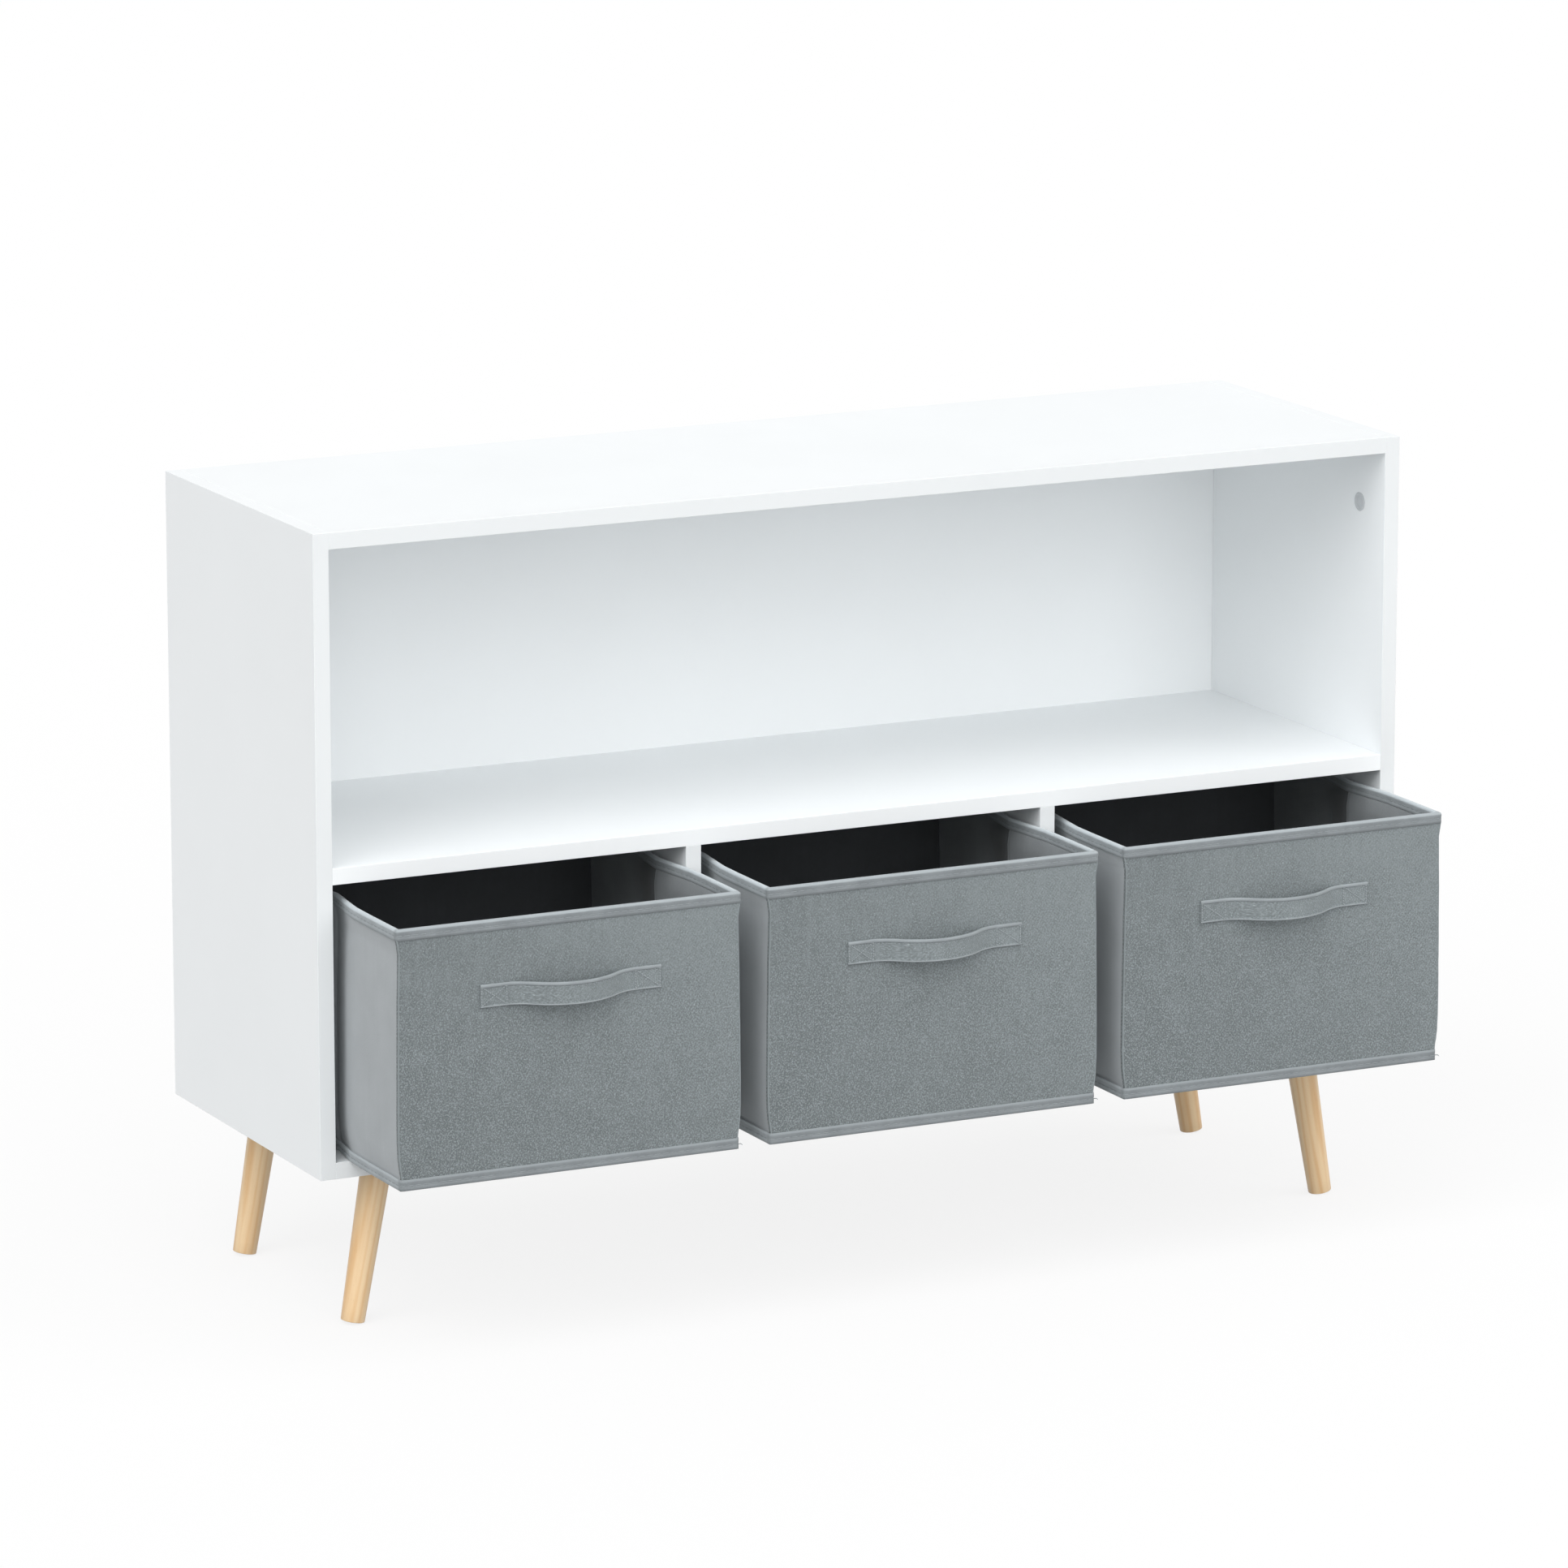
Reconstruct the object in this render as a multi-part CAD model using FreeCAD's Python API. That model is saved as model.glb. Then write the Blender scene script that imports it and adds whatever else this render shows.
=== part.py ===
import FreeCAD, Part
import math
import os

# A white open-shelf storage cabinet for toys on four splayed wooden legs. Three soft
# bins of grey fabric over board stand side by side in the bays under the open shelf,
# each partly pulled out, and slide in and out along Y.
#
# Millimetres. X runs to the right along the front, Y to the back and Z up. The origin
# is on the floor, under the centre of the box that the whole piece fills as it stands.

Vec = FreeCAD.Vector
RIGHT = Vec(1, 0, 0)
UP = Vec(0, 0, 1)

# ---------------------------------------------------------------- driving dimensions
# Carcass of coated particle board
width = 1095.0              # over the two side panels
depth = 341.0               # front edge to rear edge of the panels
carcass_height = 584.0      # side panels, without the legs
board = 15.0                # thickness of every board
bin_bay_height = 253.0      # clear height of the bays that hold the bins
floor_clearance = 148.0     # floor to the underside of the carcass

# Thin back panel, held in grooves on all four edges
back_board = 3.0
back_inset = 12.0           # rear edge of the panels to the groove
groove_depth = 6.0
groove_play = 0.2           # how much wider the groove is than the back panel
back_edge_play = 0.5        # back panel's edge to the end of its groove

# Round pieces are drawn with this many flats, and their diameters are over the corners
leg_sides = 40
fitting_sides = 8
dish_sides = 16
nut_sides = 6

# Knock-down joints at the ends of the horizontal boards
joint_setback = 45.0        # front or rear end of a joint to its first fitting
dowel_spacing = 32.0        # cam bolt to the dowel beside it
dowel_diameter = 8.0
dowel_length = 30.0
dowel_face_depth = 9.0      # how far a dowel stands in the face that it meets
cam_diameter = 15.0
cam_height = 12.0
cam_centre = 34.0           # board end to the centre of its cam
cam_slot_play = 0.4         # bolt head to the cam's slot, across both sides
cam_key_length = 9.0        # driver slot in the face of the cam
cam_key_width = 1.6
cam_key_depth = 1.5
bolt_thread_diameter = 5.0
bolt_thread_length = 10.0
bolt_head_diameter = 7.0
bolt_head_length = 4.0
bolt_bore = 8.0             # clearance bore in the board's end

# Screws that come up through the bottom panel into the dividers
divider_screw_diameter = 5.0
divider_screw_length = 50.0
divider_screw_head = 10.0
divider_screw_head_height = 4.0

# Round grey cap on the inner face of each side panel
cap_diameter = 18.0
cap_height = 1.2
cap_plug_diameter = 10.0
cap_plug_length = 8.0
cap_setback = 45.5          # behind the front edge
cap_drop = 68.0             # below the top of the side panel
cap_cross_length = 7.0
cap_cross_width = 1.8
cap_cross_depth = 0.6

# Turned, tapered legs that lean outwards
leg_top_diameter = 28.0
leg_foot_diameter = 22.0
leg_splay = 10.0            # degrees from the vertical
leg_side_setback = 74.0     # leg axis at the carcass to the side panel's outer face
leg_end_setback = 44.5      # leg axis to the front or rear edge

# Stamped steel plate above each leg, with a dished seat square to the leg
plate_size = 62.0
plate_thickness = 2.5
plate_corner = 9.0
seat_depth = 10.0           # carcass to the seat, on the leg's axis
seat_diameter = 38.0
plate_hole_inset = 8.0
plate_screw_diameter = 4.0
plate_screw_length = 12.0
plate_screw_head = 8.0
plate_screw_head_height = 2.2

# Hanger bolt: machine thread up through the seat, wood thread down in the leg
hanger_diameter = 8.0
hanger_above = 7.5          # above the seat, on the leg's axis
hanger_wood_diameter = 7.0
hanger_below = 28.0
hanger_nut_diameter = 14.0
hanger_nut_height = 3.0

# Bins of fabric over board, sized to leave this room in their bays
bin_names = ("left_bin", "middle_bin", "right_bin")
bin_side_room = 11.0        # both sides together
bin_head_room = 16.7
bin_end_room = 21.0         # how much shorter the bin is than its bay is deep
bin_wall = 3.5
bin_pinch = 8.0             # how far each side draws in at half its depth
bin_pull = 115.0            # how far the bins stand out of the cabinet
bin_shift = 4.5             # how far each bin stands right of the centre of its bay
bin_lift = 0.3              # running gap under the bin
bin_floor = 2.0
base_board = 3.0
base_board_play = 1.0       # base board's edge to the walls
binding = 1.0               # thickness of the binding tape
rim_binding_height = 12.0
base_binding_height = 11.0

# Strap handle sewn flat on the bin's front at both ends, bowed out between them
strap_length = 175.0
strap_height = 21.0
strap_thickness = 2.0
strap_sewn = 26.0           # length of each sewn end
strap_bow = 20.0            # finger room behind the middle of the strap
strap_root_radius = 36.0    # bend where the strap leaves its sewn ends
strap_drop = 68.0           # rim to the middle of the strap

# ---------------------------------------------------------------- derived places
bin_front_reach = bin_pull + strap_bow + strap_thickness
front_y = (bin_front_reach - depth) / 2
rear_y = front_y + depth
back_y = rear_y - back_inset - back_board       # front face of the back panel

inner_x = width / 2 - board                     # inner face of the right side panel
bay_count = len(bin_names)
bay_width = (2 * inner_x - (bay_count - 1) * board) / bay_count

carcass_z = floor_clearance
top_z = carcass_z + carcass_height
bay_floor_z = carcass_z + board
shelf_z = bay_floor_z + bin_bay_height          # underside of the shelf

bin_width = bay_width - bin_side_room - 2 * binding      # without its binding
bin_depth = depth - back_inset - back_board - bin_end_room
bin_height = bin_bay_height - bin_lift - bin_head_room

splay = math.radians(leg_splay)


def bay_centre(index):
    return -inner_x + bay_width / 2 + index * (bay_width + board)


# ---------------------------------------------------------------- shapes
def block(x0, x1, y0, y1, z0, z1):
    return Part.makeBox(x1 - x0, y1 - y0, z1 - z0, Vec(x0, y0, z0))


def polygon(diameter, along, sides):
    """Regular polygon across Z at that height, with a flat towards +X."""
    points = []
    for corner in range(sides + 1):
        turn = 2 * math.pi * (corner + 0.5) / sides
        points.append(Vec(diameter / 2 * math.cos(turn), diameter / 2 * math.sin(turn), along))
    return Part.makePolygon(points)


def stand(solid, start, axis):
    """The solid moved from the Z axis onto the axis that begins at start."""
    solid.Placement = FreeCAD.Placement(start, FreeCAD.Rotation(UP, axis))
    return solid


def rod(start, axis, diameter, length, sides=fitting_sides):
    solid = Part.Face(polygon(diameter, 0, sides)).extrude(UP * length)
    return stand(solid, start, axis)


def frustum(near_size, near, far_size, far, sides):
    """Tapered prism with flat faces between two heights on the Z axis."""
    low = polygon(near_size, near, sides)
    high = polygon(far_size, far, sides)
    faces = [Part.Face(low), Part.Face(high)]
    for corner in range(sides):
        following = (corner + 1) % sides
        quad = [low.Vertexes[corner].Point, low.Vertexes[following].Point,
                high.Vertexes[following].Point, high.Vertexes[corner].Point]
        faces.append(Part.Face(Part.makePolygon([*quad, quad[0]])))
    solid = Part.makeSolid(Part.makeShell(faces))
    if solid.Volume < 0:
        solid.reverse()
    return solid


def stepped(steps, start, axis, sides=fitting_sides):
    """A fitting of prisms and tapers: steps are (diameter, distance along the axis)."""
    pieces = []
    for (near_size, near), (far_size, far) in zip(steps, steps[1:]):
        if near == far:
            continue
        pieces.append(frustum(near_size, near, far_size, far, sides))
    solid = pieces[0].multiFuse(pieces[1:]).removeSplitter() if pieces[1:] else pieces[0]
    return stand(solid, start, axis)


def bar(centre, axis, length, breadth, sink):
    """Cutter for a slot that is sunk along the axis from its centre in a face."""
    cutter = Part.makeBox(length, breadth, sink, Vec(-length / 2, -breadth / 2, 0))
    return stand(cutter, centre, axis)


def cross(centre, axis, length, breadth, sink):
    """Cutter for two crossed slots."""
    return bar(centre, axis, length, breadth, sink).fuse(bar(centre, axis, breadth, length, sink))


def save(name, solids):
    solids = list(solids)
    shape = solids[0] if len(solids) == 1 else Part.makeCompound(solids)
    shape.exportStep(os.path.join("parts", name + ".step"))


# ---------------------------------------------------------------- joinery
def joint_rows(far_y):
    """Pairs of (cam bolt, dowel) places along Y for a board that ends at far_y."""
    near = front_y + joint_setback
    far = far_y - joint_setback
    return ((near, near + dowel_spacing), (far, far - dowel_spacing))


class Fittings:
    """Dowels, bolts, cams and screws, with the bores that each one needs."""

    def __init__(self):
        self.dowels = []
        self.bolts = []
        self.cams = []
        self.screws = []
        self.bores = {}

    def drill(self, panel, tool):
        self.bores.setdefault(panel, []).append(tool)

    def dowel(self, face_panel, end_panel, place, inwards):
        """A dowel from the face at place into the end of the board that meets it."""
        start = place - inwards * dowel_face_depth
        peg = rod(start, inwards, dowel_diameter, dowel_length)
        self.dowels.append(peg)
        self.drill(face_panel, peg)
        self.drill(end_panel, peg)

    def cam_joint(self, face_panel, end_panel, place, inwards, board_z):
        """A bolt in the face at place, locked by a cam in the board's underside."""
        reach = cam_centre + bolt_head_length / 2
        steps = [(bolt_thread_diameter, -bolt_thread_length)]
        steps += [(bolt_thread_diameter, reach - bolt_head_length)]
        steps += [(bolt_head_diameter, reach - bolt_head_length)]
        steps += [(bolt_head_diameter, reach)]
        self.bolts.append(stepped(steps, place, inwards))
        thread = rod(place - inwards * bolt_thread_length, inwards,
                     bolt_thread_diameter, bolt_thread_length)
        self.drill(face_panel, thread)

        centre = place + inwards * cam_centre
        seat = Vec(centre.x, centre.y, board_z)
        pocket = rod(seat, UP, cam_diameter, cam_height)
        self.drill(end_panel, pocket)
        self.drill(end_panel, rod(place, inwards, bolt_bore, cam_centre))

        slot = bolt_head_diameter + cam_slot_play
        mouth = rod(place, inwards, slot, reach + cam_slot_play)
        key = bar(seat, UP, cam_key_length, cam_key_width, cam_key_depth)
        self.cams.append(pocket.cut(mouth).cut(key))

    def divider_screw(self, bottom_panel, divider, place):
        """A countersunk screw up through the bottom panel into a divider's end."""
        steps = [(divider_screw_head, 0)]
        steps += [(divider_screw_diameter, divider_screw_head_height)]
        steps += [(divider_screw_diameter, divider_screw_length)]
        screw = stepped(steps, place, UP)
        self.screws.append(screw)
        self.drill(bottom_panel, screw)
        self.drill(divider, screw)

    def finish(self, panel, solid):
        """The panel with every bore that its fittings need."""
        tools = self.bores.get(panel, [])
        return solid.cut(tools) if tools else solid


def fit_horizontal(fittings, name, board_z, far_y):
    """Cams and dowels at both ends of a horizontal board."""
    middle_z = board_z + board / 2
    for side, panel in ((-1, "left_side_panel"), (1, "right_side_panel")):
        inwards = RIGHT * -side
        for bolt_y, dowel_y in joint_rows(far_y):
            bolt_place = Vec(side * inner_x, bolt_y, middle_z)
            dowel_place = Vec(side * inner_x, dowel_y, middle_z)
            fittings.cam_joint(panel, name, bolt_place, inwards, board_z)
            fittings.dowel(panel, name, dowel_place, inwards)


def fit_divider(fittings, name, x):
    """Dowels up into the shelf, and screws up from under the bottom panel."""
    for screw_y, dowel_y in joint_rows(back_y):
        fittings.dowel("middle_shelf", name, Vec(x, dowel_y, shelf_z), UP * -1)
        fittings.divider_screw("bottom_panel", name, Vec(x, screw_y, carcass_z))


# ---------------------------------------------------------------- carcass
def back_groove():
    """The groove that the back panel stands in, as one frame-shaped cutter."""
    play = groove_play / 2
    reach_x = inner_x + groove_depth
    return block(-reach_x, reach_x, back_y - play, back_y + back_board + play,
                 bay_floor_z - groove_depth, top_z - board + groove_depth)


def back_panel():
    reach = groove_depth - back_edge_play
    return block(-inner_x - reach, inner_x + reach, back_y, back_y + back_board,
                 bay_floor_z - reach, top_z - board + reach)


def side_panel(side):
    outer = side * width / 2
    inner = side * inner_x
    return block(min(outer, inner), max(outer, inner), front_y, rear_y, carcass_z, top_z)


def horizontal_board(z, far_y):
    return block(-inner_x, inner_x, front_y, far_y, z, z + board)


def divider_board(x):
    return block(x - board / 2, x + board / 2, front_y, back_y, bay_floor_z, shelf_z)


def cap_place(side):
    """Centre of the cap in the side panel's inner face."""
    return Vec(side * inner_x, front_y + cap_setback, top_z - cap_drop)


def cap_plug(side):
    """Plug of the cap, which also cuts its bore."""
    return rod(cap_place(side), RIGHT * side, cap_plug_diameter, cap_plug_length)


def side_cap(side):
    """Thin round rim on the panel's face with crossed slots, and the plug behind it."""
    inwards = RIGHT * -side
    rim = rod(cap_place(side), inwards, cap_diameter, cap_height, dish_sides)
    face = cap_place(side) + inwards * cap_height
    recess = cross(face, RIGHT * side, cap_cross_length, cap_cross_width, cap_cross_depth)
    return rim.fuse(cap_plug(side)).cut(recess)


# ---------------------------------------------------------------- legs
def leg_root(side, end):
    """Where the leg's axis meets the underside of the carcass."""
    x = side * (width / 2 - leg_side_setback)
    y = front_y + leg_end_setback if end < 0 else rear_y - leg_end_setback
    return Vec(x, y, carcass_z)


def leg_down(side):
    """Direction of the leg's axis, down and outwards."""
    return Vec(side * math.sin(splay), 0, -math.cos(splay))


def leg_seat(side, end):
    """Centre of the dished seat that the top of the leg bears on."""
    return leg_root(side, end) + leg_down(side) * (seat_depth / math.cos(splay))


def leg_length():
    """From the seat to the foot, whose inner edge stands on the floor."""
    foot_rise = leg_foot_diameter / 2 * math.sin(splay)
    return (floor_clearance - seat_depth - foot_rise) / math.cos(splay)


def leg(side, end):
    """Turned taper, square at both ends and bored for the hanger bolt."""
    seat = leg_seat(side, end)
    taper = frustum(leg_top_diameter, 0, leg_foot_diameter, leg_length(), leg_sides)
    bore = rod(seat, leg_down(side), hanger_wood_diameter, hanger_below)
    return stand(taper, seat, leg_down(side)).cut(bore)


def hanger_bolt(side, end):
    steps = [(hanger_wood_diameter, -hanger_below), (hanger_wood_diameter, 0)]
    steps += [(hanger_diameter, 0), (hanger_diameter, hanger_above)]
    return stepped(steps, leg_seat(side, end), leg_down(side) * -1)


def plate_screw_places(side, end):
    reach = plate_size / 2 - plate_hole_inset
    corners = ((-reach, -reach), (reach, -reach), (-reach, reach), (reach, reach))
    return [leg_root(side, end) + Vec(dx, dy, -plate_thickness) for dx, dy in corners]


def plate_screw(place):
    steps = [(plate_screw_head, -plate_screw_head_height), (plate_screw_head, 0)]
    steps += [(plate_screw_diameter, 0), (plate_screw_diameter, plate_screw_length)]
    return stepped(steps, place, UP)


def leg_plate(side, end):
    """Stamped plate: a flat flange, and a hollow dish with its seat square to the leg."""
    root = leg_root(side, end)
    seat = leg_seat(side, end)
    down = leg_down(side)
    half = plate_size / 2
    flange = block(root.x - half, root.x + half, root.y - half, root.y + half,
                   carcass_z - plate_thickness, carcass_z)
    upright = [edge for edge in flange.Edges if abs(edge.tangentAt(0).z) > 0.99]
    flange = flange.makeFillet(plate_corner, upright)

    tall = 2 * seat_depth
    above = seat - down * tall
    under_carcass = block(root.x - plate_size, root.x + plate_size, root.y - plate_size,
                          root.y + plate_size, carcass_z - tall, carcass_z)
    dish = rod(above, down, seat_diameter, tall, dish_sides)
    hollow_diameter = seat_diameter - 2 * plate_thickness
    hollow = rod(above, down, hollow_diameter, tall - plate_thickness, dish_sides)
    nut = rod(seat - down * (plate_thickness + hanger_nut_height), down,
              hanger_nut_diameter, hanger_nut_height + plate_thickness, nut_sides)
    plate = flange.fuse(dish).cut(hollow).fuse(nut).common(under_carcass)
    plate = plate.cut(rod(above, down, hanger_diameter, tall))
    holes = [rod(place, UP, plate_screw_diameter, plate_thickness)
             for place in plate_screw_places(side, end)]
    return plate.cut(holes).removeSplitter()


# ---------------------------------------------------------------- bins
def bin_outline(index, inset):
    """Plan of the bin moved inwards by inset: each side is two boards with a fold between."""
    centre = bay_centre(index) + bin_shift
    half = bin_width / 2 - inset
    fold = half - bin_pinch
    near = front_y - bin_pull + inset
    far = front_y - bin_pull + bin_depth - inset
    middle = (near + far) / 2
    plan = ((-half, near), (half, near), (fold, middle), (half, far), (-half, far),
            (-fold, middle), (-half, near))
    return Part.Face(Part.makePolygon([Vec(centre + x, y, 0) for x, y in plan]))


def bin_prism(index, inset, z0, z1):
    face = bin_outline(index, inset)
    face.translate(Vec(0, 0, bay_floor_z + bin_lift + z0))
    return face.extrude(UP * (z1 - z0))


def bin_walls(index):
    """Front, back, left and right walls, which butt at the corners."""
    top = bin_height - binding
    shell = bin_prism(index, 0, 0, top).cut(bin_prism(index, bin_wall, 0, top))
    centre = bay_centre(index) + bin_shift
    near = front_y - bin_pull
    far = near + bin_depth
    low = carcass_z
    x0, x1 = centre - bin_width, centre + bin_width
    front = shell.common(block(x0, x1, near, near + bin_wall, low, top_z))
    back = shell.common(block(x0, x1, far - bin_wall, far, low, top_z))
    sides = shell.common(block(x0, x1, near + bin_wall, far - bin_wall, low, top_z))
    left, right = sorted(sides.Solids, key=lambda solid: solid.CenterOfMass.x)
    return {"front": front, "back": back, "left": left, "right": right}


def rim_tape(index):
    """Tape folded over the top edge of the four walls."""
    low = bin_height - rim_binding_height
    outer = bin_prism(index, -binding, low, bin_height)
    inner = bin_prism(index, bin_wall + binding, low, bin_height)
    ring = outer.cut(inner)
    top = bin_height - binding
    walls = bin_prism(index, 0, low, top).cut(bin_prism(index, bin_wall, low, top))
    return ring.cut(walls)


def base_tape(index):
    """Tape round the foot of the four walls."""
    outer = bin_prism(index, -binding, 0, base_binding_height)
    return outer.cut(bin_prism(index, 0, 0, base_binding_height))


def strap_bend(out):
    """Edges of the bowed middle, out from the strap's inner side: root, crown, root."""
    free = strap_length / 2 - strap_sewn
    turn = 2 * math.atan(strap_bow / free)

    def root(side, share):
        radius = strap_root_radius - out
        angle = turn * share
        x = free - radius * math.sin(angle)
        return Vec(side * x, -(strap_root_radius - radius * math.cos(angle)), 0)

    crown = Vec(0, -(strap_bow + out), 0)
    left = Part.Arc(root(-1, 0), root(-1, 0.5), root(-1, 1))
    middle = Part.Arc(root(-1, 1), crown, root(1, 1))
    right = Part.Arc(root(1, 1), root(1, 0.5), root(1, 0))
    return [left.toShape(), middle.toShape(), right.toShape()]


def handle(index):
    """Strap with flat sewn ends and a middle that bows out in tangent bends."""
    end = strap_length / 2
    free = end - strap_sewn
    outer = -strap_thickness
    edges = [Part.makeLine(Vec(-end, 0, 0), Vec(-end, outer, 0)),
             Part.makeLine(Vec(-end, outer, 0), Vec(-free, outer, 0)),
             *strap_bend(strap_thickness),
             Part.makeLine(Vec(free, outer, 0), Vec(end, outer, 0)),
             Part.makeLine(Vec(end, outer, 0), Vec(end, 0, 0)),
             Part.makeLine(Vec(end, 0, 0), Vec(free, 0, 0)),
             *strap_bend(0),
             Part.makeLine(Vec(-free, 0, 0), Vec(-end, 0, 0))]
    plan = Part.Face(Part.Wire(Part.__sortEdges__(edges)))
    low = bay_floor_z + bin_lift + bin_height - strap_drop - strap_height / 2
    plan.translate(Vec(bay_centre(index) + bin_shift, front_y - bin_pull, low))
    return plan.extrude(UP * strap_height)


def save_bin(index, name):
    for wall, solid in bin_walls(index).items():
        save(name + "_" + wall + "_wall", [solid])
    save(name + "_floor", [bin_prism(index, bin_wall, 0, bin_floor)])
    board_inset = bin_wall + base_board_play
    insert = bin_prism(index, board_inset, bin_floor, bin_floor + base_board)
    save(name + "_base_board", [insert])
    save(name + "_rim_binding", [rim_tape(index)])
    save(name + "_base_binding", [base_tape(index)])
    save(name + "_handle", [handle(index)])


# ---------------------------------------------------------------- whole piece
def save_carcass(fittings):
    divider_xs = [bay_centre(index) + (bay_width + board) / 2 for index in range(bay_count - 1)]
    dividers = {"divider_" + str(index + 1): x for index, x in enumerate(divider_xs)}

    fit_horizontal(fittings, "top_panel", top_z - board, rear_y)
    fit_horizontal(fittings, "middle_shelf", shelf_z, back_y)
    fit_horizontal(fittings, "bottom_panel", carcass_z, rear_y)
    for name, x in dividers.items():
        fit_divider(fittings, name, x)

    groove = back_groove()
    for name, side in (("left_side_panel", -1), ("right_side_panel", 1)):
        fittings.drill(name, groove)
        fittings.drill(name, cap_plug(side))
        save(name, [fittings.finish(name, side_panel(side))])
    for name, z in (("top_panel", top_z - board), ("bottom_panel", carcass_z)):
        fittings.drill(name, groove)
        save(name, [fittings.finish(name, horizontal_board(z, rear_y))])
    save("middle_shelf", [fittings.finish("middle_shelf", horizontal_board(shelf_z, back_y))])
    for name, x in dividers.items():
        save(name, [fittings.finish(name, divider_board(x))])
    save("back_panel", [back_panel()])

    save("dowels", fittings.dowels)
    save("cam_bolts", fittings.bolts)
    save("cam_locks", fittings.cams)
    save("divider_screws", fittings.screws)
    save("side_caps", [side_cap(-1), side_cap(1)])


def save_legs(fittings):
    corners = {"front_left": (-1, -1), "front_right": (1, -1),
               "rear_left": (-1, 1), "rear_right": (1, 1)}
    screws = []
    for name, corner in corners.items():
        save(name + "_leg", [leg(*corner)])
        save(name + "_leg_plate", [leg_plate(*corner)])
        for place in plate_screw_places(*corner):
            screw = plate_screw(place)
            screws.append(screw)
            fittings.drill("bottom_panel", screw)
    save("leg_plate_screws", screws)
    save("hanger_bolts", [hanger_bolt(*corner) for corner in corners.values()])


def main():
    os.makedirs("parts", exist_ok=True)
    fittings = Fittings()
    save_legs(fittings)
    save_carcass(fittings)
    for index, name in enumerate(bin_names):
        save_bin(index, name)


main()
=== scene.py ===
"""Looks of a white toy storage cabinet with three fabric bins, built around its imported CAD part."""

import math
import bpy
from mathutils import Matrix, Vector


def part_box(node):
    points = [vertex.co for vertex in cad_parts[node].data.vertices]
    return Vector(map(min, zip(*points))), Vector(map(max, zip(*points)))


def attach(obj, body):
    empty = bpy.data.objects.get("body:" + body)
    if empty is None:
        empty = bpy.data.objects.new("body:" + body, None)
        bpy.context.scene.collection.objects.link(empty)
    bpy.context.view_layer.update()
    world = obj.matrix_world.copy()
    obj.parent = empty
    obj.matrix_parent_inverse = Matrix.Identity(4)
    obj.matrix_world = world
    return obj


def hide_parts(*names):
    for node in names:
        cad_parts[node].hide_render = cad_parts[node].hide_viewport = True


bl_info = {
    "name": "Toy storage cabinet",
    "version": (1, 0, 0),
    "blender": (4, 5, 0),
    "location": "3D View > Sidebar > Toy storage",
    "description": "Finishes for a toy storage cabinet with three fabric bins on wooden legs",
    "category": "Object",
}

import bmesh
import bpy
from bpy.props import FloatProperty, FloatVectorProperty, PointerProperty
from mathutils import Matrix, Vector, noise

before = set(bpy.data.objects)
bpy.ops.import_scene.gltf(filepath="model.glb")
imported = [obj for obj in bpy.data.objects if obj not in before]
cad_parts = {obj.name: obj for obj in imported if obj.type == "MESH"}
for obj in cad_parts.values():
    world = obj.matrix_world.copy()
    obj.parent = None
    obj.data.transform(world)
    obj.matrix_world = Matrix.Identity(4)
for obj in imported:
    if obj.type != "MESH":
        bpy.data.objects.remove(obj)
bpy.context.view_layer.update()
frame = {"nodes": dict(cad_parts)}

MM = 0.001
BIN_NAMES = ("left_bin", "middle_bin", "right_bin")
BOARDS = ("left_side_panel", "right_side_panel", "top_panel", "middle_shelf", "bottom_panel",
          "divider_1", "divider_2")
# Lamp, degrees round from the front, degrees up, share of the lamps' strength, spread
LAMPS = (("left_lamp", -60, 40, 1.38, 50), ("high_lamp", -30, 65, 0.46, 50),
         ("front_lamp", -5, 15, 1.2, 50), ("right_lamp", 60, 40, 0.89, 50),
         ("back_lamp", 125, 6, 0.6, 40))
LEGS = ("front_left_leg", "front_right_leg", "rear_left_leg", "rear_right_leg")
# Camera: its place in metres, and degrees turned to the right and tilted down
CAMERA_PLACE = (-3.3417, -6.7100, 2.1067)
CAMERA_TURN = 26.205
CAMERA_DOWN = 12.574
SENSOR_WIDTH = 36
# Metres to the lamps, to the end of the camera's sight and to the floor's edges
LAMP_REACH = 3
CAMERA_REACH = 200
FLOOR_REACH = 60
# Share of its own light in the floor that the camera sees: the rest takes the shadows
FLOOR_GLOW = 0.82


def linear(red, green, blue):
    """A colour written as 0 to 255 screen values, as the linear colour that a shader takes."""
    def channel(value):
        share = value / 255
        return share / 12.92 if share <= 0.04045 else ((share + 0.055) / 1.055) ** 2.4
    return tuple(channel(value) for value in (red, green, blue))


def lerp(a, b, share):
    return a + (b - a) * share


def smooth(share):
    share = min(max(share, 0.0), 1.0)
    return share * share * (3 - 2 * share)


def from_table(table, place):
    """Value of a table of (place, value) pairs, eased between them."""
    if place <= table[0][0]:
        return table[0][1]
    for (near, low), (far, high) in zip(table, table[1:]):
        if place <= far:
            return lerp(low, high, smooth((place - near) / (far - near)))
    return table[-1][1]


# ---------------------------------------------------------------- what a user would change
def length_property(name, description, default):
    return FloatProperty(name=name, description=description, default=default * MM, min=0,
                         subtype="DISTANCE", unit="LENGTH", precision=5)


def colour_property(name, description, default):
    return FloatVectorProperty(name=name, description=description, default=default, size=3,
                               min=0, max=1, subtype="COLOR")


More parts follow.
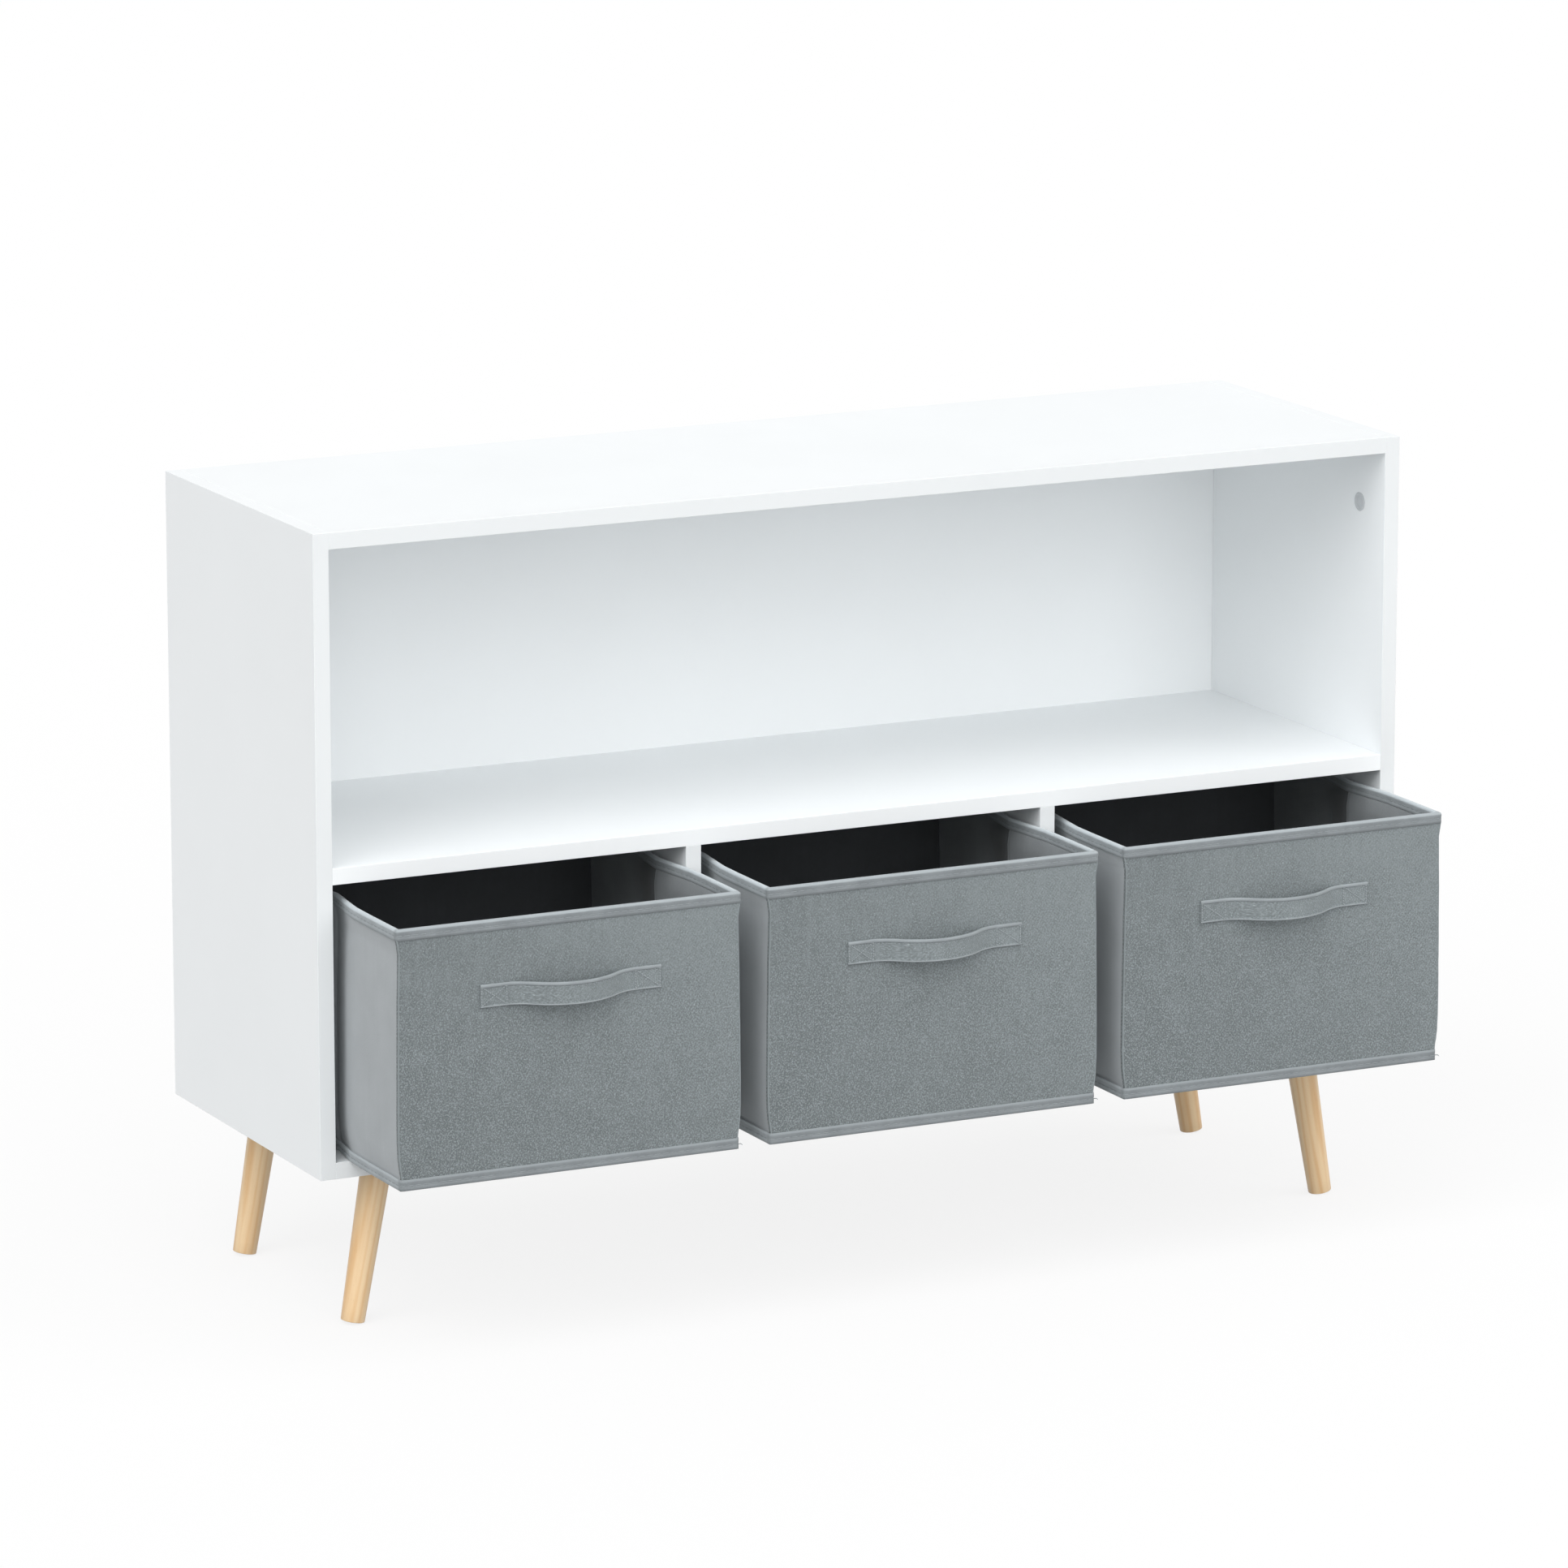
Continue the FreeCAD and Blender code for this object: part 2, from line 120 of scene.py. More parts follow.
class CabinetFinish(bpy.types.PropertyGroup):
    """Sizes and colours of the boards, legs and fittings."""

    board_edge: length_property("Board edge", "Rounding of the boards' edges", 0.35)
    leg_edge: length_property("Leg edge", "Rounding of the legs' ends", 0.8)
    cap_dome: length_property("Cap dome", "How far the side caps' middle rises", 0.5)
    white_coat: colour_property("White coat", "Coating of the boards", (0.905, 0.93, 0.942))
    back_coat: colour_property("Back coat", "Coating of the back panel", (0.905, 0.93, 0.942))
    # The edge band is darker than the coat partly as painted shade on the boards' front faces
    edge_band: colour_property("Edge band", "Band on the boards' front edges", (0.775, 0.8, 0.81))
    pale_pine: colour_property("Pale pine", "Light wood of the legs", linear(238, 210, 169))
    dark_pine: colour_property("Dark pine", "Late wood lines of the legs", linear(217, 167, 108))
    beech: colour_property("Beech", "Dowels", linear(214, 178, 132))
    zinc: colour_property("Zinc", "Plating of the bolts and screws", (0.66, 0.67, 0.68))
    cast_zinc: colour_property("Cast zinc", "Cams", (0.52, 0.53, 0.54))
    plate_steel: colour_property("Plate steel", "Leg plates", (0.5, 0.51, 0.52))
    grey_cap: colour_property("Grey plastic", "Caps in the side panels", linear(198, 202, 205))


class BinFinish(bpy.types.PropertyGroup):
    """Sizes and colours of the fabric bins."""

    corner: length_property("Corner", "Rounding of the bins' upright corners", 1.2)
    seam: length_property("Corner seam", "Half the thickness of the seam on the corners", 0.7)
    rim_tape: length_property("Rim tape", "Height of the tape round the rim", 10.3)
    fold_tape: length_property("Corner fold", "How far the front cloth turns onto the side", 4.6)
    cloth: length_property("Cloth", "Thickness of the cloth and of the lining", 0.6)
    slack: length_property("Slack", "How far the cloth waves over its boards", 0.7)
    rim_stitch_drop: length_property("Rim stitches", "Rim to its row of stitches", 5.9)
    base_stitch_rise: length_property("Base stitches", "Foot to its row of stitches", 4.7)
    stitch_pitch: length_property("Stitch pitch", "From one stitch to the next", 7.7)
    stitch_length: length_property("Stitch length", "Length of one stitch", 6.3)
    thread: length_property("Thread", "Thickness of the thread", 0.75)
    front_cloth: colour_property("Front cloth", "Woven cloth of the front and back",
                                 linear(119, 126, 128))
    side_cloth: colour_property("Side cloth", "Plain cloth of the sides", linear(169, 174, 177))
    side_lining: colour_property("Side lining", "Lining of the sides", linear(144, 149, 152))
    end_lining: colour_property("End lining", "Lining of the front and back",
                                linear(78, 81, 84))
    tape: colour_property("Binding tape", "Tape round the rim and the foot",
                          linear(134, 140, 143))
    thread_colour: colour_property("Thread colour", "Stitches", linear(149, 156, 159))


class StageFinish(bpy.types.PropertyGroup):
    """Floor, light and camera."""

    floor: colour_property("Floor", "Colour of the floor", (0.86, 0.86, 0.86))
    bounce: colour_property("Bounce", "Colour that the floor throws back", (0.45, 0.45, 0.45))
    sky: FloatProperty(name="Sky", description="Strength of the even light", default=0.45, min=0)
    lamp: FloatProperty(name="Lamps", description="Strength of the soft lamps", default=1.0,
                        min=0)
    lens: FloatProperty(name="Lens", description="Focal length in millimetres", default=192.0,
                        min=1)


class ToyStorage(bpy.types.PropertyGroup):
    """Everything that a user would change."""

    cabinet: PointerProperty(type=CabinetFinish)
    bins: PointerProperty(type=BinFinish)
    stage: PointerProperty(type=StageFinish)


# ---------------------------------------------------------------- shader maths
class Wire:
    """A socket that a shader reads, with arithmetic that adds Math nodes."""

    def __init__(self, nodes, socket):
        self.nodes = nodes
        self.socket = socket

    def math(self, operation, *values):
        return self.nodes.node("ShaderNodeMath", {"operation": operation}, dict(enumerate(values)))

    def __add__(self, other):
        return self.math("ADD", self, other)

    __radd__ = __add__

    def __sub__(self, other):
        return self.math("SUBTRACT", self, other)

    def __rsub__(self, other):
        return self.math("SUBTRACT", other, self)

    def __mul__(self, other):
        return self.math("MULTIPLY", self, other)

    __rmul__ = __mul__

    def __truediv__(self, other):
        return self.math("DIVIDE", self, other)

    def __pow__(self, other):
        return self.math("POWER", self, other)

    def sine(self):
        return self.math("SINE", self)

    def fraction(self):
        return self.math("FRACT", self)

    def size(self):
        return self.math("ABSOLUTE", self)

    def over(self, edge, width):
        """0 below the edge and 1 above it, turning over that width."""
        settings = {"interpolation_type": "SMOOTHSTEP", "clamp": True}
        sockets = {"Value": self, "From Min": edge - width / 2, "From Max": edge + width / 2}
        return self.nodes.node("ShaderNodeMapRange", settings, sockets)


class Nodes:
    """A tree of shader nodes, and the method that adds one."""

    def __init__(self, tree):
        self.tree = tree

    def node(self, kind, settings=None, sockets=None, output=0):
        """A node with its settings made first, and then its sockets' values or links."""
        made = self.tree.nodes.new(kind)
        for key, value in (settings or {}).items():
            setattr(made, key, value)
        for key, value in (sockets or {}).items():
            self.plug(made.inputs[key], value)
        return Wire(self, made.outputs[output])

    def plug(self, socket, value):
        if isinstance(value, Wire):
            self.tree.links.new(value.socket, socket)
        elif socket.type == "RGBA" and len(value) == 3:
            socket.default_value = (*value, 1)
        else:
            socket.default_value = value


class Finish(Nodes):
    """One procedural material, with its coordinates in millimetres at rest."""

    def __init__(self, name):
        self.material = bpy.data.materials.new(name)
        self.material.use_nodes = True
        super().__init__(self.material.node_tree)
        self.shader = self.tree.nodes["Principled BSDF"]
        self.output = self.tree.nodes["Material Output"]
        place = self.node("ShaderNodeTexCoord", output="Object")
        self.place = self.vector("SCALE", place, Scale=1 / MM)

    def vector(self, operation, first, second=None, **named):
        sockets = {0: first, **named}
        if second is not None:
            sockets[1] = second
        return self.node("ShaderNodeVectorMath", {"operation": operation}, sockets)

    def split(self):
        return [self.node("ShaderNodeSeparateXYZ", sockets={0: self.place}, output=axis)
                for axis in "XYZ"]

    def join(self, x, y, z):
        return self.node("ShaderNodeCombineXYZ", sockets={0: x, 1: y, 2: z})

    def mix(self, first, second, share):
        sockets = {0: share, 6: first, 7: second}
        return self.node("ShaderNodeMix", {"data_type": "RGBA"}, sockets, 2)

    def grain(self, size, stretch=(1, 1, 1), detail=2.0, rough=0.5, place=None):
        """Noise from 0 to 1 whose blotches are about size millimetres across."""
        place = place or self.place
        if stretch != (1, 1, 1):
            place = self.vector("DIVIDE", place, stretch)
        sockets = {"Vector": place, "Scale": 1 / size, "Detail": detail, "Roughness": rough}
        return self.node("ShaderNodeTexNoise", {"noise_dimensions": "3D"}, sockets)

    def cells(self, size):
        """Distance to the nearest of many points about size millimetres apart."""
        sockets = {"Vector": self.place, "Scale": 1 / size}
        return self.node("ShaderNodeTexVoronoi", sockets=sockets, output="Distance")

    def relief(self, height, depth, strength=1.0):
        """Bump of a height from 0 to 1 whose full depth is in millimetres."""
        sockets = {"Strength": strength, "Distance": depth * MM, "Height": height}
        self.plug(self.shader.inputs["Normal"], self.node("ShaderNodeBump", sockets=sockets))

    def paint(self, **values):
        """Values or links of the shader's sockets, with _ for a space in a name."""
        for key, value in values.items():
            self.plug(self.shader.inputs[key.replace("_", " ")], value)
        return self.material


def scaled(colour, share):
    return tuple(min(channel * share, 1.0) for channel in colour)


def coated_board(name, colour, gloss):
    """Melamine coat: nearly even, with a fine pebbled skin and faint handling marks."""
    finish = Finish(name)
    pebble = finish.grain(0.9, detail=3)
    cloud = finish.grain(160, detail=3)
    smudge = finish.grain(38, detail=5, rough=0.65)
    tone = finish.mix(scaled(colour, 0.985), colour, cloud.over(0.5, 0.5))
    finish.relief(pebble, 0.035, 0.7)
    return finish.paint(Base_Color=tone, Roughness=smudge * 0.14 + (gloss - 0.07) + pebble * 0.04)


def turned_wood(name, pale, dark):
    """Straight-grained wood under thin satin varnish, along the piece's own Z."""
    finish = Finish(name)
    x, y, z = finish.split()
    drift = finish.grain(30, stretch=(1, 1, 7), detail=2)
    heart = finish.join(x + 27, y - 11, z * 0.03)
    across = finish.node("ShaderNodeVectorMath", {"operation": "LENGTH"}, {0: heart}, "Value")
    ring = ((across + drift * 12) * (2 * math.pi / 6.5)).sine() * 0.5 + 0.5
    fibre = finish.grain(0.6, stretch=(1, 1, 42), detail=4, rough=0.6)
    streak = finish.grain(7, stretch=(1, 1, 20), detail=3)
    pore = finish.grain(0.42, stretch=(1, 1, 12), detail=1).over(0.7, 0.1)
    late = ring ** 2.2 * 0.34 + fibre.over(0.55, 0.5) * 0.1 + streak.over(0.55, 0.4) * 0.3
    tone = finish.mix(pale, dark, late)
    tone = finish.mix(tone, scaled(dark, 0.66), pore * 0.16)
    finish.relief(fibre * 0.6 + ring * 0.2 - pore * 0.4, 0.05, 0.5)
    return finish.paint(Base_Color=tone, Roughness=fibre * 0.1 + 0.36 + pore * 0.1,
                        Coat_Weight=0.18, Coat_Roughness=0.3)


def bare_metal(name, colour, base_rough, lines):
    """Plated or cast metal: brushed or pebbled, dulled in soft patches."""
    finish = Finish(name)
    patch = finish.grain(9, detail=5, rough=0.6)
    fine = finish.grain(0.5, stretch=lines, detail=3)
    tone = finish.mix(scaled(colour, 0.8), colour, patch.over(0.5, 0.4))
    finish.relief(fine, 0.03, 0.5)
    return finish.paint(Base_Color=tone, Roughness=patch * 0.2 + fine * 0.1 + (base_rough - 0.15),
                        Metallic=1.0)


def moulded_plastic(name, colour):
    finish = Finish(name)
    pebble = finish.grain(0.25, detail=2)
    cloud = finish.grain(6, detail=3)
    tone = finish.mix(scaled(colour, 0.94), colour, cloud.over(0.5, 0.4))
    finish.relief(pebble, 0.02, 0.6)
    return finish.paint(Base_Color=tone, Roughness=cloud * 0.12 + 0.42)


def heather_twill(name, colour, lay, wale=2.77, depth=0.2, crisp=1.0):
    """Woven cloth of mixed yarns: wales that slant both ways, soft clouds and pale flecks.
    lay gives a bin's left edge, the step to the next bin, its foot and its height: towards each
    bin's upper right the cloth is painted paler as a painted sheen, and its weave shows less."""
    finish = Finish(name)
    x, y, t = finish.split()
    s = x + y
    left, step, foot, tall = lay
    along = (x - left) / step
    u = along.fraction()
    v = (t - foot) / tall
    # Painted sheen: the cloth is painted paler towards each bin's upper right, and a little from bin
    # to bin; the weave's contrast fades with it and towards the top
    painted_sheen = u * 0.48 + v * 0.25 + u * v * 0.5 + along * 0.045 - 0.07
    crisp = (1.04 - u * 0.15 - v.over(0.75, 0.6) * 0.4) * crisp
    waver = finish.grain(14, detail=2) * 0.6 + finish.grain(3.4, detail=2) * 0.7
    turn = 2 * math.pi / wale
    ridge = ((t * 0.545 - s * 0.838 + waver) * turn).sine() * 0.5 + 0.5
    cross = ((s * 0.642 + t * 0.767 + waver * 0.8) * (turn * 1.17)).sine() * 0.5 + 0.5
    patchy = finish.grain(30, detail=3).over(0.5, 0.3)
    lean = finish.grain(3.2, detail=2, place=finish.join(s, t, 40)).over(0.5, 0.16) * 0.7 + 0.2
    weave = ridge * lean + cross * (1 - lean)
    slope = finish.join(s * 0.86 - t * 0.5, (s * 0.5 + t * 0.86) * 0.45, 0)
    fleck = finish.grain(0.8, detail=2, place=slope)
    slub = finish.grain(1.3, detail=1, place=finish.join(s * 1.1, t * 0.9, 40))
    dust = finish.grain(1.5, detail=1, place=finish.join(s, t * 0.8, 9))
    cloud = finish.grain(17, detail=5, rough=0.6)
    column = finish.grain(5, stretch=(1, 1, 7), detail=3)
    tone = finish.mix(scaled(colour, 0.8), scaled(colour, 1.2), painted_sheen)
    tone = finish.mix(tone, scaled(colour, 1.25), cloud.over(0.56, 0.4) * 0.3)
    tone = finish.mix(tone, scaled(colour, 0.62), (1 - weave) * (patchy * 0.35 + 0.32) * crisp)
    tone = finish.mix(tone, scaled(colour, 1.6), fleck.over(0.6, 0.2) * (0.52 * crisp))
    tone = finish.mix(tone, scaled(colour, 1.7), slub.over(0.6, 0.2) * (0.62 * crisp))
    tone = finish.mix(tone, scaled(colour, 0.6), (1 - slub).over(0.6, 0.2) * (0.6 * crisp))
    tone = finish.mix(tone, scaled(colour, 2.2), dust.over(0.71, 0.07) * 0.6)
    tone = finish.mix(tone, scaled(colour, 1.25), column.over(0.58, 0.3) * v * 0.35)
    finish.relief(weave * 0.5 + fleck * 0.25 + slub * 0.25, depth, 0.8)
    return finish.paint(Base_Color=tone, Roughness=0.96 - weave * 0.12 - fleck * 0.06,
                        Sheen_Weight=0.12, Sheen_Roughness=0.5, Specular_IOR_Level=0.25)


def pressed_cloth(name, colour, contrast=1.0, dimple=1.6, crease=None):
    """Non-woven cloth: matted fibres with a fine pressed dimple, streaked along its roll.
    crease is the depth of an upright fold, in millimetres: just behind it the cloth is painted darker
    as painted shade, with a painted highlight along the fold."""
    finish = Finish(name)
    dots = 1 - finish.cells(dimple).over(0.36, 0.3)
    fibres = finish.grain(0.8, stretch=(1, 1, 3.2), detail=4, rough=0.65)
    streak = finish.grain(7, stretch=(1, 1, 24), detail=3)
    cloud = finish.grain(45, detail=4)
    low = 1 - 0.10 * contrast
    tone = finish.mix(scaled(colour, low), scaled(colour, 1.05), cloud.over(0.5, 0.5))
    tone = finish.mix(tone, scaled(colour, 0.86), streak.over(0.52, 0.4) * 0.3 * contrast)
    tone = finish.mix(tone, scaled(colour, 0.8), dots * 0.16 * contrast)
    tone = finish.mix(tone, scaled(colour, 1.3), fibres.over(0.62, 0.16) * 0.22 * contrast)
    if crease is not None:
        # Painted shade behind the fold, and a painted highlight along it
        behind = finish.split()[1] - crease
        painted_shade = behind.over(0, 2) * (1 - behind.over(38, 70))
        painted_crease_highlight = 1 - (behind + 1).size().over(0.9, 0.8)
        tone = finish.mix(tone, scaled(colour, 0.42), painted_shade)
        tone = finish.mix(tone, scaled(colour, 1.6), painted_crease_highlight * 0.5)
    finish.relief(fibres * 0.5 - dots * 0.5 + 0.5, 0.12, 0.7)
    return finish.paint(Base_Color=tone, Roughness=0.93 - fibres * 0.1,
                        Sheen_Weight=0.15, Sheen_Roughness=0.5, Specular_IOR_Level=0.2)


def ribbed_tape(name, colour, bands=(), behind=None):
    """Binding tape: fine upright ribs, with a painted highlight along its folds and painted shade
    below its stitches.
    A band is its height over the floor and its width, in millimetres, its share and its shade.
    behind is the depth of the bins' fronts: behind it, along the sides, the tape is painted paler, as
    painted light."""
    finish = Finish(name)
    x, y, z = finish.split()
    rib = ((x + y + finish.grain(9) * 0.8) * (2 * math.pi / 1.15)).sine() * 0.5 + 0.5
    line = (z * (2 * math.pi / 0.9)).sine() * 0.5 + 0.5
    fuzz = finish.grain(1.1, detail=4, rough=0.65)
    cloud = finish.grain(16, detail=3)
    wander = finish.grain(11, detail=2) * 0.5 - 0.25
    tone = finish.mix(scaled(colour, 0.9), scaled(colour, 1.1), cloud.over(0.5, 0.5))
    tone = finish.mix(tone, scaled(colour, 0.78), (1 - rib * 0.6 - line * 0.4) * 0.3)
    tone = finish.mix(tone, scaled(colour, 1.4), fuzz.over(0.62, 0.15) * 0.22)
    # Painted highlight along the rolled folds, and painted shade below the stitches and near the
    # floor
    for height, width, share, shade in bands:
        near = 1 - (z + wander - height).size() / (width / 2)
        tone = finish.mix(tone, scaled(colour, shade), near.over(0.25, 0.5) * share)
    # Painted light: behind the fronts the tape is painted half again as pale
    if behind is not None:
        painted_side_light = finish.vector("SCALE", tone, Scale=1.5)
        tone = finish.mix(tone, painted_side_light, (y - behind).over(4, 6))
    finish.relief(rib * 0.5 + line * 0.2 + fuzz * 0.3, 0.12, 0.7)
    return finish.paint(Base_Color=tone, Roughness=0.93 - fuzz * 0.1,
                        Sheen_Weight=0.2, Sheen_Roughness=0.45, Specular_IOR_Level=0.25)


def twisted_thread(name, colour):
    finish = Finish(name)
    x, y, z = finish.split()
    ply = ((x + y + z) * (2 * math.pi / 0.7)).sine() * 0.5 + 0.5
    fuzz = finish.grain(0.5, detail=2)
    tone = finish.mix(scaled(colour, 0.8), colour, ply * 0.6 + fuzz * 0.4)
    finish.relief(ply, 0.08, 0.8)
    return finish.paint(Base_Color=tone, Roughness=0.7 + fuzz * 0.15)


# ---------------------------------------------------------------- meshes
SHARP_ANGLE = math.radians(50)


def mesh_piece(name, points, faces, material):
    mesh = bpy.data.meshes.new(name)
    mesh.from_pydata(points, [], faces)
    shape = bmesh.new()
    shape.from_mesh(mesh)
    bmesh.ops.recalc_face_normals(shape, faces=shape.faces)
    shape.to_mesh(mesh)
    shape.free()
    mesh.polygons.foreach_set("use_smooth", [True] * len(mesh.polygons))
    mesh.set_sharp_from_angle(angle=SHARP_ANGLE)
    mesh.materials.append(material)
    piece = bpy.data.objects.new(name, mesh)
    bpy.context.scene.collection.objects.link(piece)
    return piece


def settle(piece, body, slot, *nodes):
    """The piece rides on its body and stands for those CAD nodes; slot is not used."""
    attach(piece, body)
    if nodes:
        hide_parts(*nodes)
    return piece


class Skin:
    """Points and faces of one mesh while it grows."""

    def __init__(self):
        self.points = []
        self.faces = []

    def ring(self, points):
        start = len(self.points)
        self.points.extend(points)
        return list(range(start, len(self.points)))

    def bridge(self, near, far):
        count = len(near)
        for i in range(count):
            j = (i + 1) % count
            self.faces.append((near[i], near[j], far[j], far[i]))

    def loft(self, rings, closed=False):
        """Closed rings of equal count, joined in turn: closed joins the last to the first, and
        otherwise both ends get a face."""
        made = [self.ring(points) for points in rings]
        for near, far in zip(made, made[1:]):
            self.bridge(near, far)
        if closed:
            self.bridge(made[-1], made[0])
        else:
            self.faces.append(tuple(reversed(made[0])))
            self.faces.append(tuple(made[-1]))
        return self

    def piece(self, name, material):
        return mesh_piece(name, self.points, self.faces, material)


def round_steps(count):
    """Angles of that many even steps round a circle."""
    return [2 * math.pi * step / count for step in range(count)]


def turned(skin, start, axis, profile, sides):
    """A solid of revolution: profile is (distance along the axis, radius) pairs in metres."""
    turn = Vector((0, 0, 1)).rotation_difference(axis).to_matrix()
    rings = []
    for along, radius in profile:
        ring = [Vector((radius * math.cos(angle), radius * math.sin(angle), along))
                for angle in round_steps(sides)]
        rings.append([start + turn @ point for point in ring])
    return skin.loft(rings)


# A stitch: its sides and rings, the share of the thread's thickness that its middle stands
# proud and its ends dive, how far it thins towards its ends and how flat it is pulled
STITCH_SIDES = 6
STITCH_RINGS = 5
STITCH_PROUD = 0.28
STITCH_DIVE = 0.62
STITCH_TAPER = 0.45
STITCH_FLAT = 0.8


def sewn(skin, path, pitch, length, thread):
    """Stitches along a path of (point, outward normal): each dives into the cloth at its ends."""
    marks = [0.0]
    for (a, _), (b, _) in zip(path, path[1:]):
        marks.append(marks[-1] + (b - a).length)

    def at(distance):
        for index, (near, far) in enumerate(zip(marks, marks[1:])):
            if distance <= far or index == len(marks) - 2:
                share = (distance - near) / max(far - near, 1e-9)
                (a, na), (b, nb) = path[index], path[index + 1]
                return a.lerp(b, share), na.lerp(nb, share).normalized(), (b - a).normalized()

    count = max(int(marks[-1] / pitch), 1)
    gap = marks[-1] / count
    for index in range(count):
        middle = (index + 0.5) * gap
        rings = []
        for step in range(STITCH_RINGS):
            share = step / (STITCH_RINGS - 1) * 2 - 1
            centre, normal, along = at(middle + share * length / 2)
            side = along.cross(normal).normalized()
            lift = thread * (STITCH_PROUD - STITCH_DIVE * share ** 4)
            radius = thread / 2 * (1 - STITCH_TAPER * share ** 4)
            rings.append([centre + normal * (lift + radius * STITCH_FLAT * math.sin(angle))
                          + side * radius * math.cos(angle) for angle in round_steps(STITCH_SIDES)])
        skin.loft(rings)
    return skin


# ---------------------------------------------------------------- bins
# Height over the foot, and how far a bin's side stands in from its rim, in millimetres
SIDE_INSET = ((0, 1.9), (9.3, 2.5), (10.4, 3.5), (15, 2.6), (22, 1.5), (30, 0.7), (46, 0.2),
              (62, 0.2), (100, 0.6), (160, 1.3), (198, 2.1), (212, 2.4), (221, 1.3), (226, 0.2),
              (236, 0))
# Share of the way from a bin's corner to its middle fold, and share of the fold's draw
FOLD_TABLE = ((0, 0), (0.2, -0.03), (0.42, -0.05), (0.62, -0.01))
# Height over the foot, in millimetres, and the share of the way at which the fold starts
FOLD_STARTS = ((0, 0.7), (30, 0.76), (190, 0.76), (236, 0.62))
# Share of the fold's draw that the cloth reaches, and how softly the fold starts
FOLD_SHARE = 0.86
FOLD_SOFT = 0.04


def fold_share(along, start):
    """How far a side is drawn in, from 0 at its corners to FOLD_SHARE at its middle fold."""
    toward = 1 - abs(2 * along - 1)
    low = from_table(FOLD_TABLE, toward)
    beyond = max((toward - start) / (1 - start), 0.0)
    return low * (1 - beyond) + FOLD_SHARE * beyond ** 2 / (beyond + FOLD_SOFT) * (1 + FOLD_SOFT)


class BinForm:
    """Measures of one bin, from its CAD walls, and the plan that its cloth follows."""

    def __init__(self, name, sizes):
        low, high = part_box(name + "_front_wall")
        side_low, side_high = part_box(name + "_left_wall")
        rim_low, rim_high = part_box(name + "_rim_binding")
        foot_low, foot_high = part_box(name + "_base_binding")
        self.name = name
        self.sizes = sizes
        self.middle = (low.x + high.x) / 2
        self.half = (high.x - low.x) / 2
        self.wall = high.y - low.y
        self.front = low.y
        self.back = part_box(name + "_back_wall")[1].y
        self.foot = low.z
        self.top = high.z
        self.rim = rim_high.z
        self.rim_tape = sizes.rim_tape
        self.foot_tape = foot_high.z - foot_low.z
        self.tape = self.middle - self.half - rim_low.x
        self.draw = side_high.x - side_low.x - self.wall
        self.deep = self.back - self.front
        self.seed = Vector((self.middle * 7, 3.1, 0.7))

    def wave(self, a, b, scale, shift=0.0):
        """Smooth wave of the cloth, from -1 to 1, over two lengths in metres."""
        place = Vector((a / scale, b / scale, shift)) + self.seed
        return noise.noise(place)

    def side_at(self, height, depth):
        """Distance of a side's outer face from the bin's middle plane."""
        along = (depth - self.front) / self.deep
        above = (height - self.foot) / MM
        inset = from_table(SIDE_INSET, above) * MM
        drawn = fold_share(along, from_table(FOLD_STARTS, above))
        wander = 1 + 0.08 * self.wave(depth, height, 90 * MM, 2)
        return self.half - inset - self.draw * drawn * wander

    def end_push(self, height, across):
        """How far the front or back cloth stands proud of its board."""
        up = (height - self.foot) / (self.top - self.foot)
        belly = 0.45 * math.sin(math.pi * min(max(up, 0), 1)) * (1 - (across / self.half) ** 4)
        return self.sizes.slack * (belly + 0.35 * self.wave(across, height, 70 * MM))

    def plan(self, height, out, radius, per_side=36, per_corner=7):
        """Ring of points round the bin at a height, that far out from the walls."""
        near = self.front - out
        far = self.back + out
        points = []

        def x_at(depth):
            return self.side_at(height, min(max(depth, self.front), self.back)) + out

        def corner(sign_x, sign_y, start):
            depth = near + radius if sign_y < 0 else far - radius
            centre = Vector((sign_x * (x_at(depth) - radius), depth))
            for step in range(per_corner):
                turn = start + math.pi / 2 * step / (per_corner - 1)
                offset = Vector((math.cos(turn), math.sin(turn))) * radius
                points.append(centre + offset)

        def along(a, b, on_side):
            for step in range(1, per_side):
                share = step / per_side
                point = a.lerp(b, share)
                if on_side:
                    point.x = math.copysign(x_at(point.y), point.x)
                points.append(point)

        quarter = math.pi / 2
        for sign_x, sign_y, start in ((-1, -1, 2), (1, -1, -1), (1, 1, 0), (-1, 1, 1)):
            corner(sign_x, sign_y, start * quarter)
            last = points[-1]
            if sign_x * sign_y < 0:
                along(last, Vector((last.x, far - radius if sign_x > 0 else near + radius)), True)
            else:
                along(last, Vector((-last.x, last.y)), False)
        return [Vector((self.middle + point.x, point.y, height)) for point in points]


def heights(low, high, count, tight=1.6):
    """Heights between two ends, closer together near both, or even where tight is 1."""
    made = []
    for step in range(count + 1):
        share = step / count * 2 - 1
        eased = math.copysign(abs(share) ** (1 / tight), share)
        made.append(low + (high - low) * (eased + 1) / 2)
    return made


# Steps up and across the walls and linings, and round a wall's turned corner
WALL_LEVELS = 56
END_STEPS = 52
SIDE_STEPS = 96
LINING_LEVELS = 40
LINING_STEPS = 48
BEND_STEPS = 6
# Share of a front's width over which its cloth swells from the corner
SWELL_SHARE = 0.04
# Share of the corner seam's radius that lies inside the corner
SEAM_SUNK = 0.62
SEAM_SIDES = 10
# The groove along a side's middle fold, on both of its faces
FOLD_GROOVE_DEEP = 1.2 * MM
FOLD_GROOVE_WIDE = 1.4 * MM


